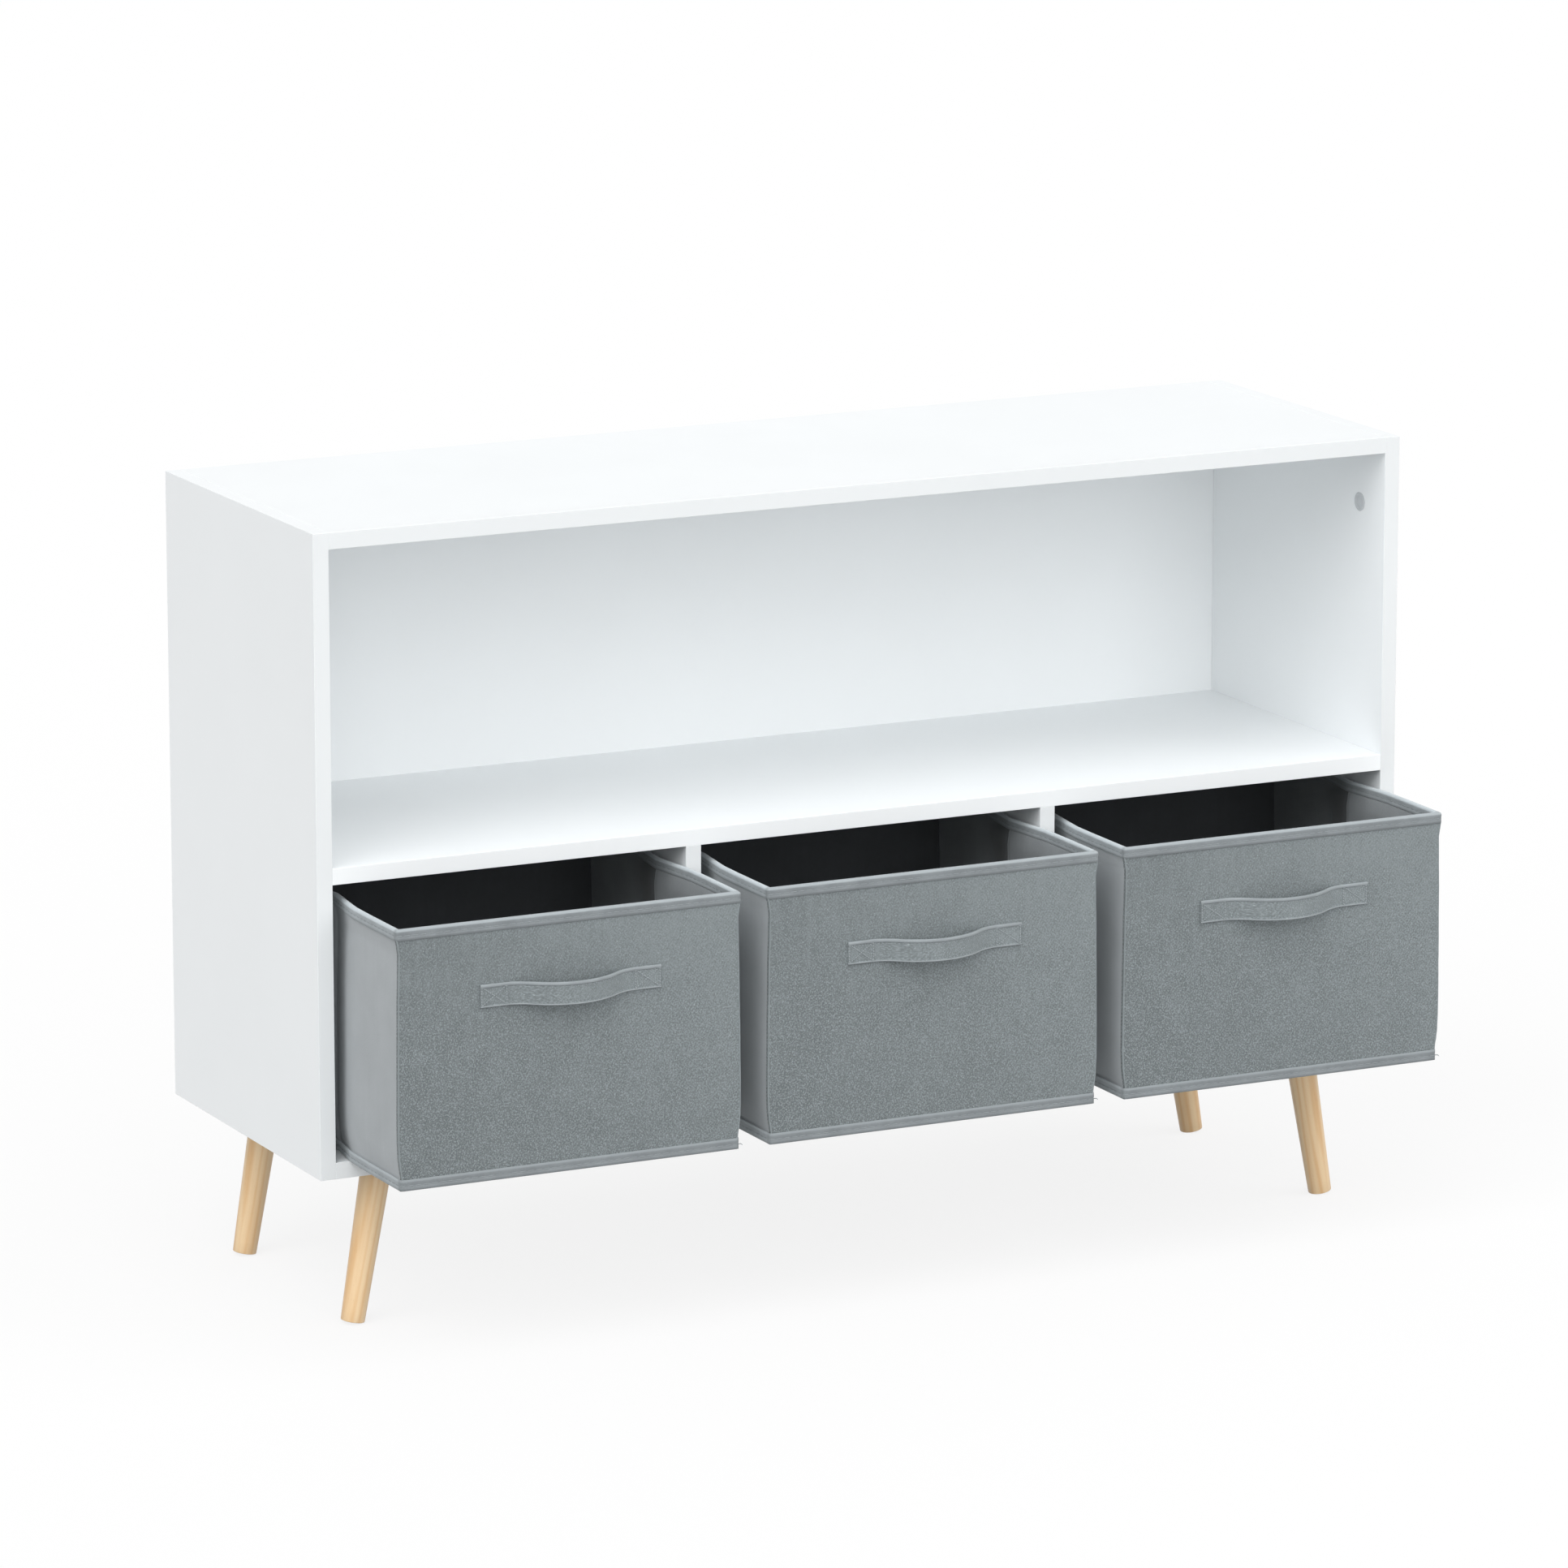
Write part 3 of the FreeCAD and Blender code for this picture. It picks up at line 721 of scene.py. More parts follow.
def end_wall(form, back, material):
    """Front or back wall: cloth over board, turned round both corners onto the sides."""
    sizes = form.sizes
    radius = sizes.corner
    turn_in = sizes.fold_tape
    rings = []
    for height in heights(form.foot, form.top, WALL_LEVELS):
        half = form.side_at(height, form.front)
        edge = half + sizes.cloth
        fold = [(-edge + 0.2 * MM, turn_in), (-edge, turn_in - 0.5 * MM), (-edge, radius * 1.6)]
        for step in range(BEND_STEPS + 1):
            angle = math.pi / 2 * step / BEND_STEPS
            fold.append((-edge + radius - radius * math.cos(angle),
                         radius - radius * math.sin(angle)))
        outline = list(fold)
        for step in range(1, END_STEPS):
            share = step / END_STEPS
            x = (edge - radius) * (2 * share - 1)
            ease = smooth(min(share, 1 - share) / SWELL_SHARE)
            outline.append((x, -form.end_push(height, x) * ease))
        outline += [(-x, y) for x, y in reversed(fold)]
        outline += [(half, turn_in), (half, form.wall), (-half, form.wall), (-half, turn_in)]
        if back:
            outline = [(x, form.deep - y) for x, y in outline]
        rings.append([Vector((form.middle + x, form.front + y, height)) for x, y in outline])
    end = "back" if back else "front"
    piece = Skin().loft(rings).piece(form.name + "_" + end + "_panel", material)
    return settle(piece, form.name, "bin_fabric", form.name + "_" + end + "_wall")


def corner_seams(form, material):
    """Raised seams where the front and back cloth turn onto the sides."""
    skin = Skin()
    radius = form.sizes.seam
    sunk = radius * SEAM_SUNK
    levels = heights(form.foot + form.foot_tape - MM, form.rim - form.rim_tape + MM, 64, 1)
    for side in (-1, 1):
        for end in (-1, 1):
            y = form.front + sunk if end < 0 else form.back - sunk
            rings = []
            for height in levels:
                wander = 0.12 * MM * form.wave(height, 7 * side + end, 6 * MM)
                x = form.side_at(height, form.front) + form.sizes.cloth - sunk + wander
                rings.append([Vector((form.middle + side * (x + radius * math.cos(angle)),
                                      y + radius * math.sin(angle), height))
                              for angle in round_steps(SEAM_SIDES)])
            skin.loft(rings)
    settle(skin.piece(form.name + "_corner_seams", material), form.name, "bin_fabric")


def side_face(form, side, height, depth, inward):
    """Point of a side wall, inward from its outer face, grooved along its middle fold."""
    middle = form.front + form.deep / 2
    groove = math.exp(-((depth - middle) / FOLD_GROOVE_WIDE) ** 2)
    dent = FOLD_GROOVE_DEEP * groove * (1 if inward == 0 else -1)
    wave = form.sizes.slack * 0.5 * form.wave(depth, height, 60 * MM, 5 * side)
    x = form.side_at(height, depth) - inward - dent + wave * (1 - groove)
    return Vector((form.middle + side * x, depth, height))


def side_sheet(form, side, levels, outward, inward):
    """A side's board or lining, from one distance in from its outer face to another."""
    near = form.front + form.wall
    far = form.back - form.wall
    depths = [lerp(near, far, step / SIDE_STEPS) for step in range(SIDE_STEPS + 1)]
    rings = []
    for height in levels:
        outer = [side_face(form, side, height, depth, outward) for depth in depths]
        inner = [side_face(form, side, height, depth, inward) for depth in reversed(depths)]
        rings.append(outer + inner)
    return Skin().loft(rings)


def side_wall(form, side, material):
    word = "left" if side < 0 else "right"
    skin = side_sheet(form, side, heights(form.foot, form.top, WALL_LEVELS), 0, form.wall)
    piece = skin.piece(form.name + "_" + word + "_panel", material)
    return settle(piece, form.name, "bin_fabric", form.name + "_" + word + "_wall")


def end_sheet(form, back, levels):
    """Lining of the front or back wall, slightly slack."""
    cloth = form.sizes.cloth
    inward = -1 if back else 1
    base = form.back - form.wall if back else form.front + form.wall
    rings = []
    for height in levels:
        reach = form.side_at(height, form.front + form.wall) - form.wall - cloth - 0.3 * MM
        outer = []
        inner = []
        for step in range(LINING_STEPS + 1):
            x = lerp(-reach, reach, step / LINING_STEPS)
            wave = form.wave(x, height, 80 * MM, 15 if back else 11)
            thick = cloth + form.sizes.slack * 0.25 * (wave + 1)
            outer.append(Vector((form.middle + x, base, height)))
            inner.append(Vector((form.middle + x, base + inward * thick, height)))
        rings.append(outer + inner[::-1])
    return Skin().loft(rings)


def lining(form, low, end_material, side_material):
    """Four thin sheets inside the walls, from the base board up to the rim tape."""
    levels = heights(low, form.rim - form.rim_tape - 0.2 * MM, LINING_LEVELS)
    for side, word in ((-1, "left"), (1, "right")):
        skin = side_sheet(form, side, levels, form.wall, form.wall + form.sizes.cloth)
        piece = skin.piece(form.name + "_" + word + "_lining", side_material)
        settle(piece, form.name, "bin_lining")
    for back, word in ((False, "front"), (True, "back")):
        skin = end_sheet(form, back, levels)
        piece = skin.piece(form.name + "_" + word + "_lining", end_material)
        settle(piece, form.name, "bin_lining")


ROLL_STEPS = 12
# How far the rows of stitches are drawn into the tapes
RIM_STITCH_SINK = 0.25 * MM
FOOT_STITCH_SINK = 0.35 * MM
# Rows beside the corners: inward from the turned cloth's edge, pitch and length
FOLD_STITCH_INSET = 1.8 * MM
FOLD_STITCH = (3.6 * MM, 2.1 * MM)
# A loose end of thread: millimetres out from the front, millimetres up, share of the thread
LOOSE_THREAD = ((0.0, 0.0, 0.5), (1.3, 0.2, 0.5), (2.4, 0.5, 0.5), (3.4, 0.3, 0.5),
                (4.2, -0.4, 0.25))
# Share of its way out by which it also leans past the corner
LOOSE_LEAN = 0.45
LOOSE_SIDES = 8


def tape_ring(outer, inner, section):
    """Tape round the bin: the section's points are (share of the way in, height)."""
    rings = []
    for a, b in zip(outer, inner):
        ring = []
        for share, height in section:
            point = a.lerp(b, share)
            ring.append(Vector((point.x, point.y, height)))
        rings.append(ring)
    return Skin().loft(rings, closed=True)


def rim_section(form, wide):
    """Tape folded over the rim: a fuller roll along the top, and a pinch at its stitches."""
    thin = form.tape / wide
    low = form.rim - form.rim_tape
    stitch = form.rim - form.sizes.rim_stitch_drop
    roll = wide / 2
    outer = [(0.35 * thin, low), (0.08 * thin, low + 0.4 * MM), (0, low + 1.2 * MM)]
    outer += [(0, stitch - 1.2 * MM), (0.32 * thin, stitch), (0, stitch + 1.2 * MM)]
    outer += [(-0.08 * thin, form.rim - roll * 1.3)]
    top = []
    for step in range(ROLL_STEPS + 1):
        turn = math.pi * step / ROLL_STEPS
        top.append((0.5 - (0.5 + 0.10 * thin) * math.cos(turn),
                    form.rim - roll + roll * math.sin(turn) ** 0.8))
    inside = [(1 - share, height) for share, height in reversed(outer)]
    hollow = form.top + 0.1 * MM
    return outer + top + inside + [(1 - thin, low), (1 - thin, hollow), (thin, hollow), (thin, low)]


def foot_section(form):
    """Tape round the foot: a rolled upper edge, a pinch at its stitches, turned in below."""
    low = form.foot
    high = low + form.foot_tape - 0.8 * MM
    stitch = low + form.sizes.base_stitch_rise
    points = [(1, low), (0.5, low + 0.1 * MM), (0.12, low + 0.7 * MM), (0, low + 1.7 * MM)]
    points += [(0, stitch - 1.1 * MM), (0.4, stitch), (0, stitch + 1.1 * MM)]
    points += [(-0.08, high - 2.2 * MM), (0, high - 0.7 * MM)]
    points += [(0.3, high), (0.7, high), (1, high - 0.4 * MM)]
    return points


def stitched_row(skin, form, ring_points, height, sink):
    """Stitches round a bin, along a ring of points at one height."""
    count = len(ring_points)
    path = []
    for index in range(count + 1):
        before = ring_points[(index - 1) % count]
        here = ring_points[index % count]
        after = ring_points[(index + 1) % count]
        along = (after - before).normalized()
        normal = Vector((along.y, -along.x, 0))
        path.append((Vector((here.x, here.y, height)) - normal * sink, normal))
    sizes = form.sizes
    sewn(skin, path, sizes.stitch_pitch, sizes.stitch_length, sizes.thread)


def loose_thread(skin, form):
    """End of the foot's thread, left long at the front right corner."""
    sizes = form.sizes
    corner = Vector((form.middle + form.side_at(form.foot, form.front), form.front,
                     form.foot + sizes.base_stitch_rise))
    rings = []
    for out, up, share in LOOSE_THREAD:
        radius = sizes.thread * share
        centre = corner + Vector((out * LOOSE_LEAN, -out, up)) * MM
        rings.append([centre + Vector((radius * math.cos(angle), 0, radius * math.sin(angle)))
                      for angle in round_steps(LOOSE_SIDES)])
    skin.loft(rings)


def corner_stitches(skin, form):
    """Upright rows that hold the front and back cloth onto the sides."""
    sizes = form.sizes
    inset = sizes.fold_tape - FOLD_STITCH_INSET
    levels = heights(form.foot + form.foot_tape + MM, form.rim - form.rim_tape - MM, 24, 1)
    for side in (-1, 1):
        for y in (form.front + inset, form.back - inset):
            path = []
            for height in levels:
                x = side * (form.side_at(height, form.front) + sizes.cloth)
                path.append((Vector((form.middle + x, y, height)), Vector((side, 0, 0))))
            sewn(skin, path, *FOLD_STITCH, sizes.thread * 0.8)


def bindings(form, tape_material, thread_material):
    """Tapes round a bin's rim and foot, and the thread that sews them and its corners."""
    sizes = form.sizes
    outer = form.plan(form.rim, form.tape, 2.6 * MM)
    inner = form.plan(form.rim, -form.wall - form.tape, 0.8 * MM)
    skin = tape_ring(outer, inner, rim_section(form, form.wall + 2 * form.tape))
    settle(skin.piece(form.name + "_rim_tape", tape_material), form.name, "bin_binding",
           form.name + "_rim_binding")

    foot_outer = form.plan(form.foot, form.tape + 0.2 * MM, 4.4 * MM)
    foot_inner = form.plan(form.foot, 0.1 * MM, 2.2 * MM)
    skin = tape_ring(foot_outer, foot_inner, foot_section(form))
    settle(skin.piece(form.name + "_foot_tape", tape_material), form.name, "bin_binding",
           form.name + "_base_binding")

    skin = Skin()
    loose_thread(skin, form)
    row = form.rim - sizes.rim_stitch_drop
    stitched_row(skin, form, outer, row, RIM_STITCH_SINK)
    stitched_row(skin, form, inner[::-1], row, RIM_STITCH_SINK)
    stitched_row(skin, form, foot_outer, form.foot + sizes.base_stitch_rise, FOOT_STITCH_SINK)
    corner_stitches(skin, form)
    settle(skin.piece(form.name + "_stitches", thread_material), form.name, "bin_binding")


def sheet_stack(form, height, thick, inset, levels=9):
    """A flat piece that fills the bin's plan, with rounded edges."""
    ring = form.plan(height, -inset, 2 * MM)
    centre = Vector((form.middle, form.front + form.deep / 2, 0))

    def layer(share, lift):
        made = []
        for point in ring:
            flat = Vector((point.x, point.y, 0)).lerp(centre, 1 - share)
            made.append(Vector((flat.x, flat.y, height + lift)))
        return made

    shares = [1 - (step / levels) for step in range(levels)] + [0.02]
    edge = min(thick, 2 * MM) / form.half / 2
    rings = [layer(share - edge, 0) for share in reversed(shares)]
    rings += [layer(1, thick * 0.3), layer(1, thick * 0.7)]
    rings += [layer(share - edge, thick) for share in shares]
    return Skin().loft(rings)


# The strap: thickness, length sewn flat at each end, radius where it lifts off, middle sag
STRAP_THICK = 2 * MM
STRAP_FLAT = 26 * MM
STRAP_BEND = 36 * MM
STRAP_SAG = 1.08 * MM
# Share of the way from the strap's middle to its end at which it no longer sags
SAG_END = 0.7
# Share of the way past which the strap's ends are a little thinner
THIN_END = 0.995
# Share of the way from the strap's middle line to its edge, and share of its half thickness
STRAP_HALF = ((0, 0.72), (0.62, 0.74), (0.72, 0.66), (0.765, 0.42), (0.81, 0.70), (0.86, 1.0),
              (0.92, 1.06), (0.97, 0.86), (1.0, 0.42))
# Share of the strap's thickness from its middle line to its sewn face
STRAP_FACE = 0.28
# Rolled hems: inward from the edge, half the height, how far proud, with the top edge first
HEMS = ((1.55 * MM, 1.5 * MM, 0.45 * MM), (0.8 * MM, 0.62 * MM, 0.2 * MM))
HEM_ROUND = 0.7 * MM
HEM_SIDES = 12
FLAT_STEPS = 6
# Rows of stitches along the strap, inward from its top and foot
HEM_ROWS = (4.2 * MM, 2.8 * MM)
# Pitch and length of the stitches in the rows and in the crossed boxes
ROW_STITCH = (3.6 * MM, 2.7 * MM)
BOX_STITCH = (2.2 * MM, 2.1 * MM)
BOX_STEPS = 4


def strap_path(half, flat, bow, root, count=44):
    """Centre line of the strap in plan: (along, out) with flat ends and a bowed middle."""
    free = half - flat
    turn = 2 * math.atan(bow / free)
    crown = free / math.sin(turn) - root
    points = []
    for step in range(count + 1):
        along = free * (2 * step / count - 1)
        reach = free - abs(along)
        bend = root * math.sin(turn)
        if reach < bend:
            out = root - math.sqrt(max(root ** 2 - reach ** 2, 0))
        else:
            out = bow - crown + math.sqrt(max(crown ** 2 - along ** 2, 0))
        points.append((along, out))
    ends = [half - flat * step / FLAT_STEPS for step in range(FLAT_STEPS)]
    return [(-x, 0.0) for x in ends] + points + [(x, 0.0) for x in reversed(ends)]


class StrapForm:
    """Measures of one strap handle, from its CAD solid, and the line that it follows."""

    def __init__(self, form):
        low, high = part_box(form.name + "_handle")
        self.form = form
        self.half = (high.x - low.x) / 2
        self.tall = (high.z - low.z) / 2
        self.level = (high.z + low.z) / 2
        self.face = high.y
        bow = high.y - low.y - STRAP_THICK
        self.path = strap_path(self.half, STRAP_FLAT, bow, STRAP_BEND)

    def places(self, skipped=0):
        """Centre of each step of the path, its outward normal and its share of the way out."""
        path = self.path
        for index in range(skipped, len(path) - skipped):
            along, out = path[index]
            before = path[max(index - 1, 0)]
            after = path[min(index + 1, len(path) - 1)]
            normal = Vector((before[1] - after[1], before[0] - after[0], 0)).normalized()
            share = abs(along) / self.half
            sag = STRAP_SAG * math.cos(math.pi / 2 * min(share / SAG_END, 1))
            y = self.face - out - STRAP_THICK / 2
            yield Vector((self.form.middle + along, y, self.level - sag)), normal, share


def strap_band(strap):
    """The strap itself: thin between its rolled edges, which are fuller."""
    section = []
    for step in range(-24, 25):
        share = step / 24
        half = STRAP_THICK / 2 * from_table(STRAP_HALF, abs(share))
        section.append((share * strap.tall, half))
    rings = []
    for base, normal, share in strap.places():
        squeeze = 0.85 if share > THIN_END else 1.0
        front = [base + normal * (half * squeeze) + Vector((0, 0, z)) for z, half in section]
        rear = [base - normal * (half * squeeze) + Vector((0, 0, z)) for z, half in section]
        rings.append(front + rear[::-1])
    return Skin().loft(rings)


def strap_hems(strap):
    """Rolls of cloth along the strap's two long edges."""
    skin = Skin()
    for end, (inset, high, proud) in zip((1, -1), HEMS):
        rings = []
        for base, normal, _ in strap.places():
            ring = []
            for angle in round_steps(HEM_SIDES):
                out = STRAP_THICK * STRAP_FACE + proud + HEM_ROUND * math.sin(angle)
                z = end * (strap.tall - inset) + high * math.cos(angle)
                ring.append(base + normal * out + Vector((0, 0, z)))
            rings.append(ring)
        skin.loft(rings)
    return skin


def strap_stitches(strap):
    """A crossed box of stitches at each end, and a row along each edge between them."""
    skin = Skin()
    middle = strap.form.middle
    thread = strap.form.sizes.thread
    y = strap.face - STRAP_THICK * 0.9
    inner, outer = strap.half - STRAP_FLAT + 0.8 * MM, strap.half - 1.2 * MM
    low, high = -strap.tall * 0.86, strap.tall * 0.774
    for side in (-1, 1):
        lines = (((inner, low), (inner, high)), ((outer, low), (outer, high)),
                 ((inner, low), (outer, high)), ((outer, low), (inner, high)))
        for start, end in lines:
            path = []
            for step in range(BOX_STEPS + 1):
                x, z = (lerp(start[axis], end[axis], step / BOX_STEPS) for axis in (0, 1))
                path.append((Vector((middle + side * x, y, strap.level + z)), Vector((0, -1, 0))))
            sewn(skin, path, *BOX_STITCH, thread * 1.5)
    for z in (HEM_ROWS[1] - strap.tall, strap.tall - HEM_ROWS[0]):
        row = [(base + normal * (STRAP_THICK * STRAP_FACE) + Vector((0, 0, z)), normal)
               for base, normal, _ in strap.places(FLAT_STEPS + 1)]
        sewn(skin, row, *ROW_STITCH, thread * 0.6)
    return skin


def handle(form, strap_material, hem_material, thread_material):
    """Strap with rolled long edges, sewn flat at both ends with a crossed box of stitches."""
    strap = StrapForm(form)
    piece = strap_band(strap).piece(form.name + "_strap", strap_material)
    settle(piece, form.name, "strap_fabric", form.name + "_handle")
    piece = strap_hems(strap).piece(form.name + "_strap_hems", hem_material)
    settle(piece, form.name, "strap_fabric")
    piece = strap_stitches(strap).piece(form.name + "_strap_stitches", thread_material)
    settle(piece, form.name, "strap_fabric")


# ---------------------------------------------------------------- operators
class Materials:
    """Materials made so far, by name."""

    made = {}

    @classmethod
    def get(cls, name, maker, *values, **named):
        if name not in cls.made:
            cls.made[name] = maker(name, *values, **named)
        return cls.made[name]


def give(node, material):
    node.data.materials.clear()
    node.data.materials.append(material)


def settings():
    return bpy.context.scene.toy_storage


def soften(node, width):
    """Rounds a board's edges in the render: welds its corners, then bevels them."""
    normals = node.data.attributes.get("custom_normal")
    if normals is not None:
        node.data.attributes.remove(normals)
    weld = node.modifiers.new("Weld", "WELD")
    weld.merge_threshold = 0.01 * MM
    bevel = node.modifiers.new("Edge", "BEVEL")
    bevel.width = width
    bevel.segments = 2
    bevel.limit_method = "ANGLE"
    bevel.angle_limit = math.radians(60)
    bevel.harden_normals = False


def band_edges(node, band):
    """Gives a board's front faces its glued band, darker than the coat partly as painted shade."""
    node.data.materials.append(band)
    for face in node.data.polygons:
        if face.normal.y < -0.99:
            face.material_index = 1


class TOYSTORAGE_OT_boards(bpy.types.Operator):
    """Coats the boards and the back panel and softens their edges"""

    bl_idname = "toy_storage.boards"
    bl_label = "Coat the boards"

    def execute(self, context):
        cabinet = settings().cabinet
        coat = Materials.get("white_coat", coated_board, tuple(cabinet.white_coat), 0.42)
        band = Materials.get("edge_band", coated_board, tuple(cabinet.edge_band), 0.5)
        for name in BOARDS:
            give(frame["nodes"][name], coat)
            # The middle shelf's front edge keeps the paler coat: painted light against the shade of
            # the bins below
            if name != "middle_shelf":
                band_edges(frame["nodes"][name], band)
            soften(frame["nodes"][name], cabinet.board_edge)
        back = Materials.get("back_coat", coated_board, tuple(cabinet.back_coat), 0.55)
        give(frame["nodes"]["back_panel"], back)
        return {"FINISHED"}


class TOYSTORAGE_OT_fittings(bpy.types.Operator):
    """Finishes the dowels, bolts, cams and screws"""

    bl_idname = "toy_storage.fittings"
    bl_label = "Finish the fittings"

    def execute(self, context):
        cabinet = settings().cabinet
        nodes = frame["nodes"]
        wood = Materials.get("beech", turned_wood, tuple(cabinet.beech),
                             scaled(tuple(cabinet.beech), 0.72))
        zinc = Materials.get("zinc_plate", bare_metal, tuple(cabinet.zinc), 0.34, (1, 1, 4))
        cast = Materials.get("cast_zinc", bare_metal, tuple(cabinet.cast_zinc), 0.5, (1, 1, 1))
        give(nodes["dowels"], wood)
        for name in ("cam_bolts", "divider_screws", "leg_plate_screws", "hanger_bolts"):
            give(nodes[name], zinc)
        give(nodes["cam_locks"], cast)
        return {"FINISHED"}


CAP_SIDES = 64
CAP_STEM = 7 * MM
# Share of a cap's height at which its sunk middle starts
CAP_FLOOR = 0.5
# Shares of a cap's height and radius round its raised lip, from outside in
CAP_LIP = ((0.55, 1), (0.92, 0.94), (1, 0.84), (0.9, 0.76), (0.55, 0.7), (CAP_FLOOR, 0.62))
# Shares of the dome's rise and of a cap's radius over its middle
CAP_DOME = ((0.6, 0.5), (1, 0.2), (1, 0.02))


class TOYSTORAGE_OT_caps(bpy.types.Operator):
    """Turns the round grey caps on the side panels' inner faces"""

    bl_idname = "toy_storage.caps"
    bl_label = "Turn the side caps"

    def execute(self, context):
        cabinet = settings().cabinet
        grey = Materials.get("grey_cap", moulded_plastic, tuple(cabinet.grey_cap))
        low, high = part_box("side_caps")
        radius = (high.z - low.z) / 2
        centre_y, centre_z = (low.y + high.y) / 2, (low.z + high.z) / 2
        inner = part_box("right_side_panel")[0].x
        height = cap_height()
        profile = [(-CAP_STEM, radius * 0.5), (-0.2 * MM, radius * 0.54)]
        profile += [(-0.1 * MM, radius * 0.97)]
        profile += [(height * up, radius * out) for up, out in CAP_LIP]
        profile += [(height * CAP_FLOOR + cabinet.cap_dome * up, radius * out)
                    for up, out in CAP_DOME]
        skin = Skin()
        for side in (-1, 1):
            axis = Vector((-side, 0, 0))
            start = Vector((side * inner, centre_y, centre_z))
            turned(skin, start, axis, profile, CAP_SIDES)
        piece = skin.piece("side_cap_discs", grey)
        settle(piece, "cabinet", "grey_plastic", "side_caps")
        return {"FINISHED"}


def cap_height():
    """How far a cap stands proud of its side panel."""
    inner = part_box("right_side_panel")[0].x
    points = [v.co.x for v in frame["nodes"]["side_caps"].data.vertices if v.co.x > 0]
    return inner - min(points)


# Radians by which each leg is turned round itself, so that no two show the same grain
GRAIN_START = 0.4
GRAIN_STEP = 1.3
LEG_SIDES = 72
LEG_STEPS = 12
# Points this near a leg's highest or lowest one belong to its slanted end face
LEG_END_BAND = 6 * MM


def leg_ends(node):
    """Centres of a leg's top and foot, and the two radii."""
    points = [v.co.copy() for v in node.data.vertices]
    lowest = min(p.z for p in points)
    highest = max(p.z for p in points)
    low = [p for p in points if p.z < lowest + LEG_END_BAND]
    high = [p for p in points if p.z > highest - LEG_END_BAND]

    def middle(ring):
        spread = [Vector((min(p[i] for p in ring), max(p[i] for p in ring))) for i in range(3)]
        return Vector([(pair[0] + pair[1]) / 2 for pair in spread])

    def radius(ring):
        return (max(p.y for p in ring) - min(p.y for p in ring)) / 2

    return middle(high), middle(low), radius(high), radius(low)


class TOYSTORAGE_OT_legs(bpy.types.Operator):
    """Turns the tapered legs and finishes their plates"""

    bl_idname = "toy_storage.legs"
    bl_label = "Turn the legs"

    def execute(self, context):
        cabinet = settings().cabinet
        pine = Materials.get("pine", turned_wood, tuple(cabinet.pale_pine),
                             tuple(cabinet.dark_pine))
        steel = Materials.get("plate_steel", bare_metal, tuple(cabinet.plate_steel), 0.42,
                              (5, 1, 1))
        edge = cabinet.leg_edge
        up = Vector((0, 0, 1))
        for index, name in enumerate(LEGS):
            top, foot, top_radius, foot_radius = leg_ends(frame["nodes"][name])
            length = (foot - top).length
            slope = (top_radius - foot_radius) / length
            profile = [(0, top_radius - edge), (edge * 0.3, top_radius - edge * 0.3)]
            profile += [(edge, top_radius)]
            for step in range(1, LEG_STEPS):
                along = lerp(edge, length - edge, step / LEG_STEPS)
                profile.append((along, top_radius - slope * along))
            profile += [(length - edge, foot_radius)]
            profile += [(length - edge * 0.3, foot_radius - edge * 0.3)]
            profile += [(length, foot_radius - edge)]
            skin = turned(Skin(), Vector((0, 0, 0)), up, profile, LEG_SIDES)
            piece = skin.piece(name + "_turned", pine)
            turn = up.rotation_difference((foot - top).normalized()).to_matrix().to_4x4()
            spin = Matrix.Rotation(GRAIN_STEP * index + GRAIN_START, 4, "Z")
            piece.matrix_world = Matrix.Translation(top) @ turn @ spin
            settle(piece, "cabinet", "leg_wood", name)
            plate = frame["nodes"][name + "_plate"]
            give(plate, steel)
        return {"FINISHED"}


def bin_lay():
    """A bin's left edge, the step to the next bin, its foot and its height, in millimetres."""
    first, second = (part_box(name + "_front_wall") for name in BIN_NAMES[:2])
    step = second[0].x - first[0].x
    left = (first[0].x + first[1].x - step) / 2
    return [value / MM for value in (left, step, first[0].z, first[1].z - first[0].z)]


class TOYSTORAGE_OT_bin_walls(bpy.types.Operator):
    """Covers the bins' four walls with cloth and lines them"""

    bl_idname = "toy_storage.bin_walls"
    bl_label = "Cover and line the bins"

    def execute(self, context):
        sizes = settings().bins
        twill = Materials.get("heather_twill", heather_twill, tuple(sizes.front_cloth), bin_lay())
        seam = Materials.get("seam_cloth", ribbed_tape, scaled(tuple(sizes.front_cloth), 1.3))
        plain = Materials.get("side_cloth", pressed_cloth, tuple(sizes.side_cloth), 0.45)
        dark = Materials.get("end_lining", pressed_cloth, tuple(sizes.end_lining))
        for name in BIN_NAMES:
            form = BinForm(name, sizes)
            end_wall(form, False, twill)
            end_wall(form, True, twill)
            corner_seams(form, seam)
            side_wall(form, -1, plain)
            side_wall(form, 1, plain)
            fold = (form.front + form.deep / 2) / MM
            grey = Materials.get(name + "_side_lining", pressed_cloth, tuple(sizes.side_lining),
                                 crease=fold)
            board_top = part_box(name + "_base_board")[1].z
            lining(form, board_top + 0.3 * MM, dark, grey)
        return {"FINISHED"}


# Bands of painted highlight and painted shade along the tapes: the edge that each lies by, its height
# over that edge and its width in millimetres, its share and its shade
TAPE_LIGHT_AND_SHADE_BANDS = (("rim", -0.1, 5.4, 0.72, 1.68), ("rim", -10.0, 4.4, 0.55, 0.65),
              ("foot_top", -1.4, 3.6, 0.72, 1.25), ("foot", 0.8, 4.0, 0.4, 0.75))


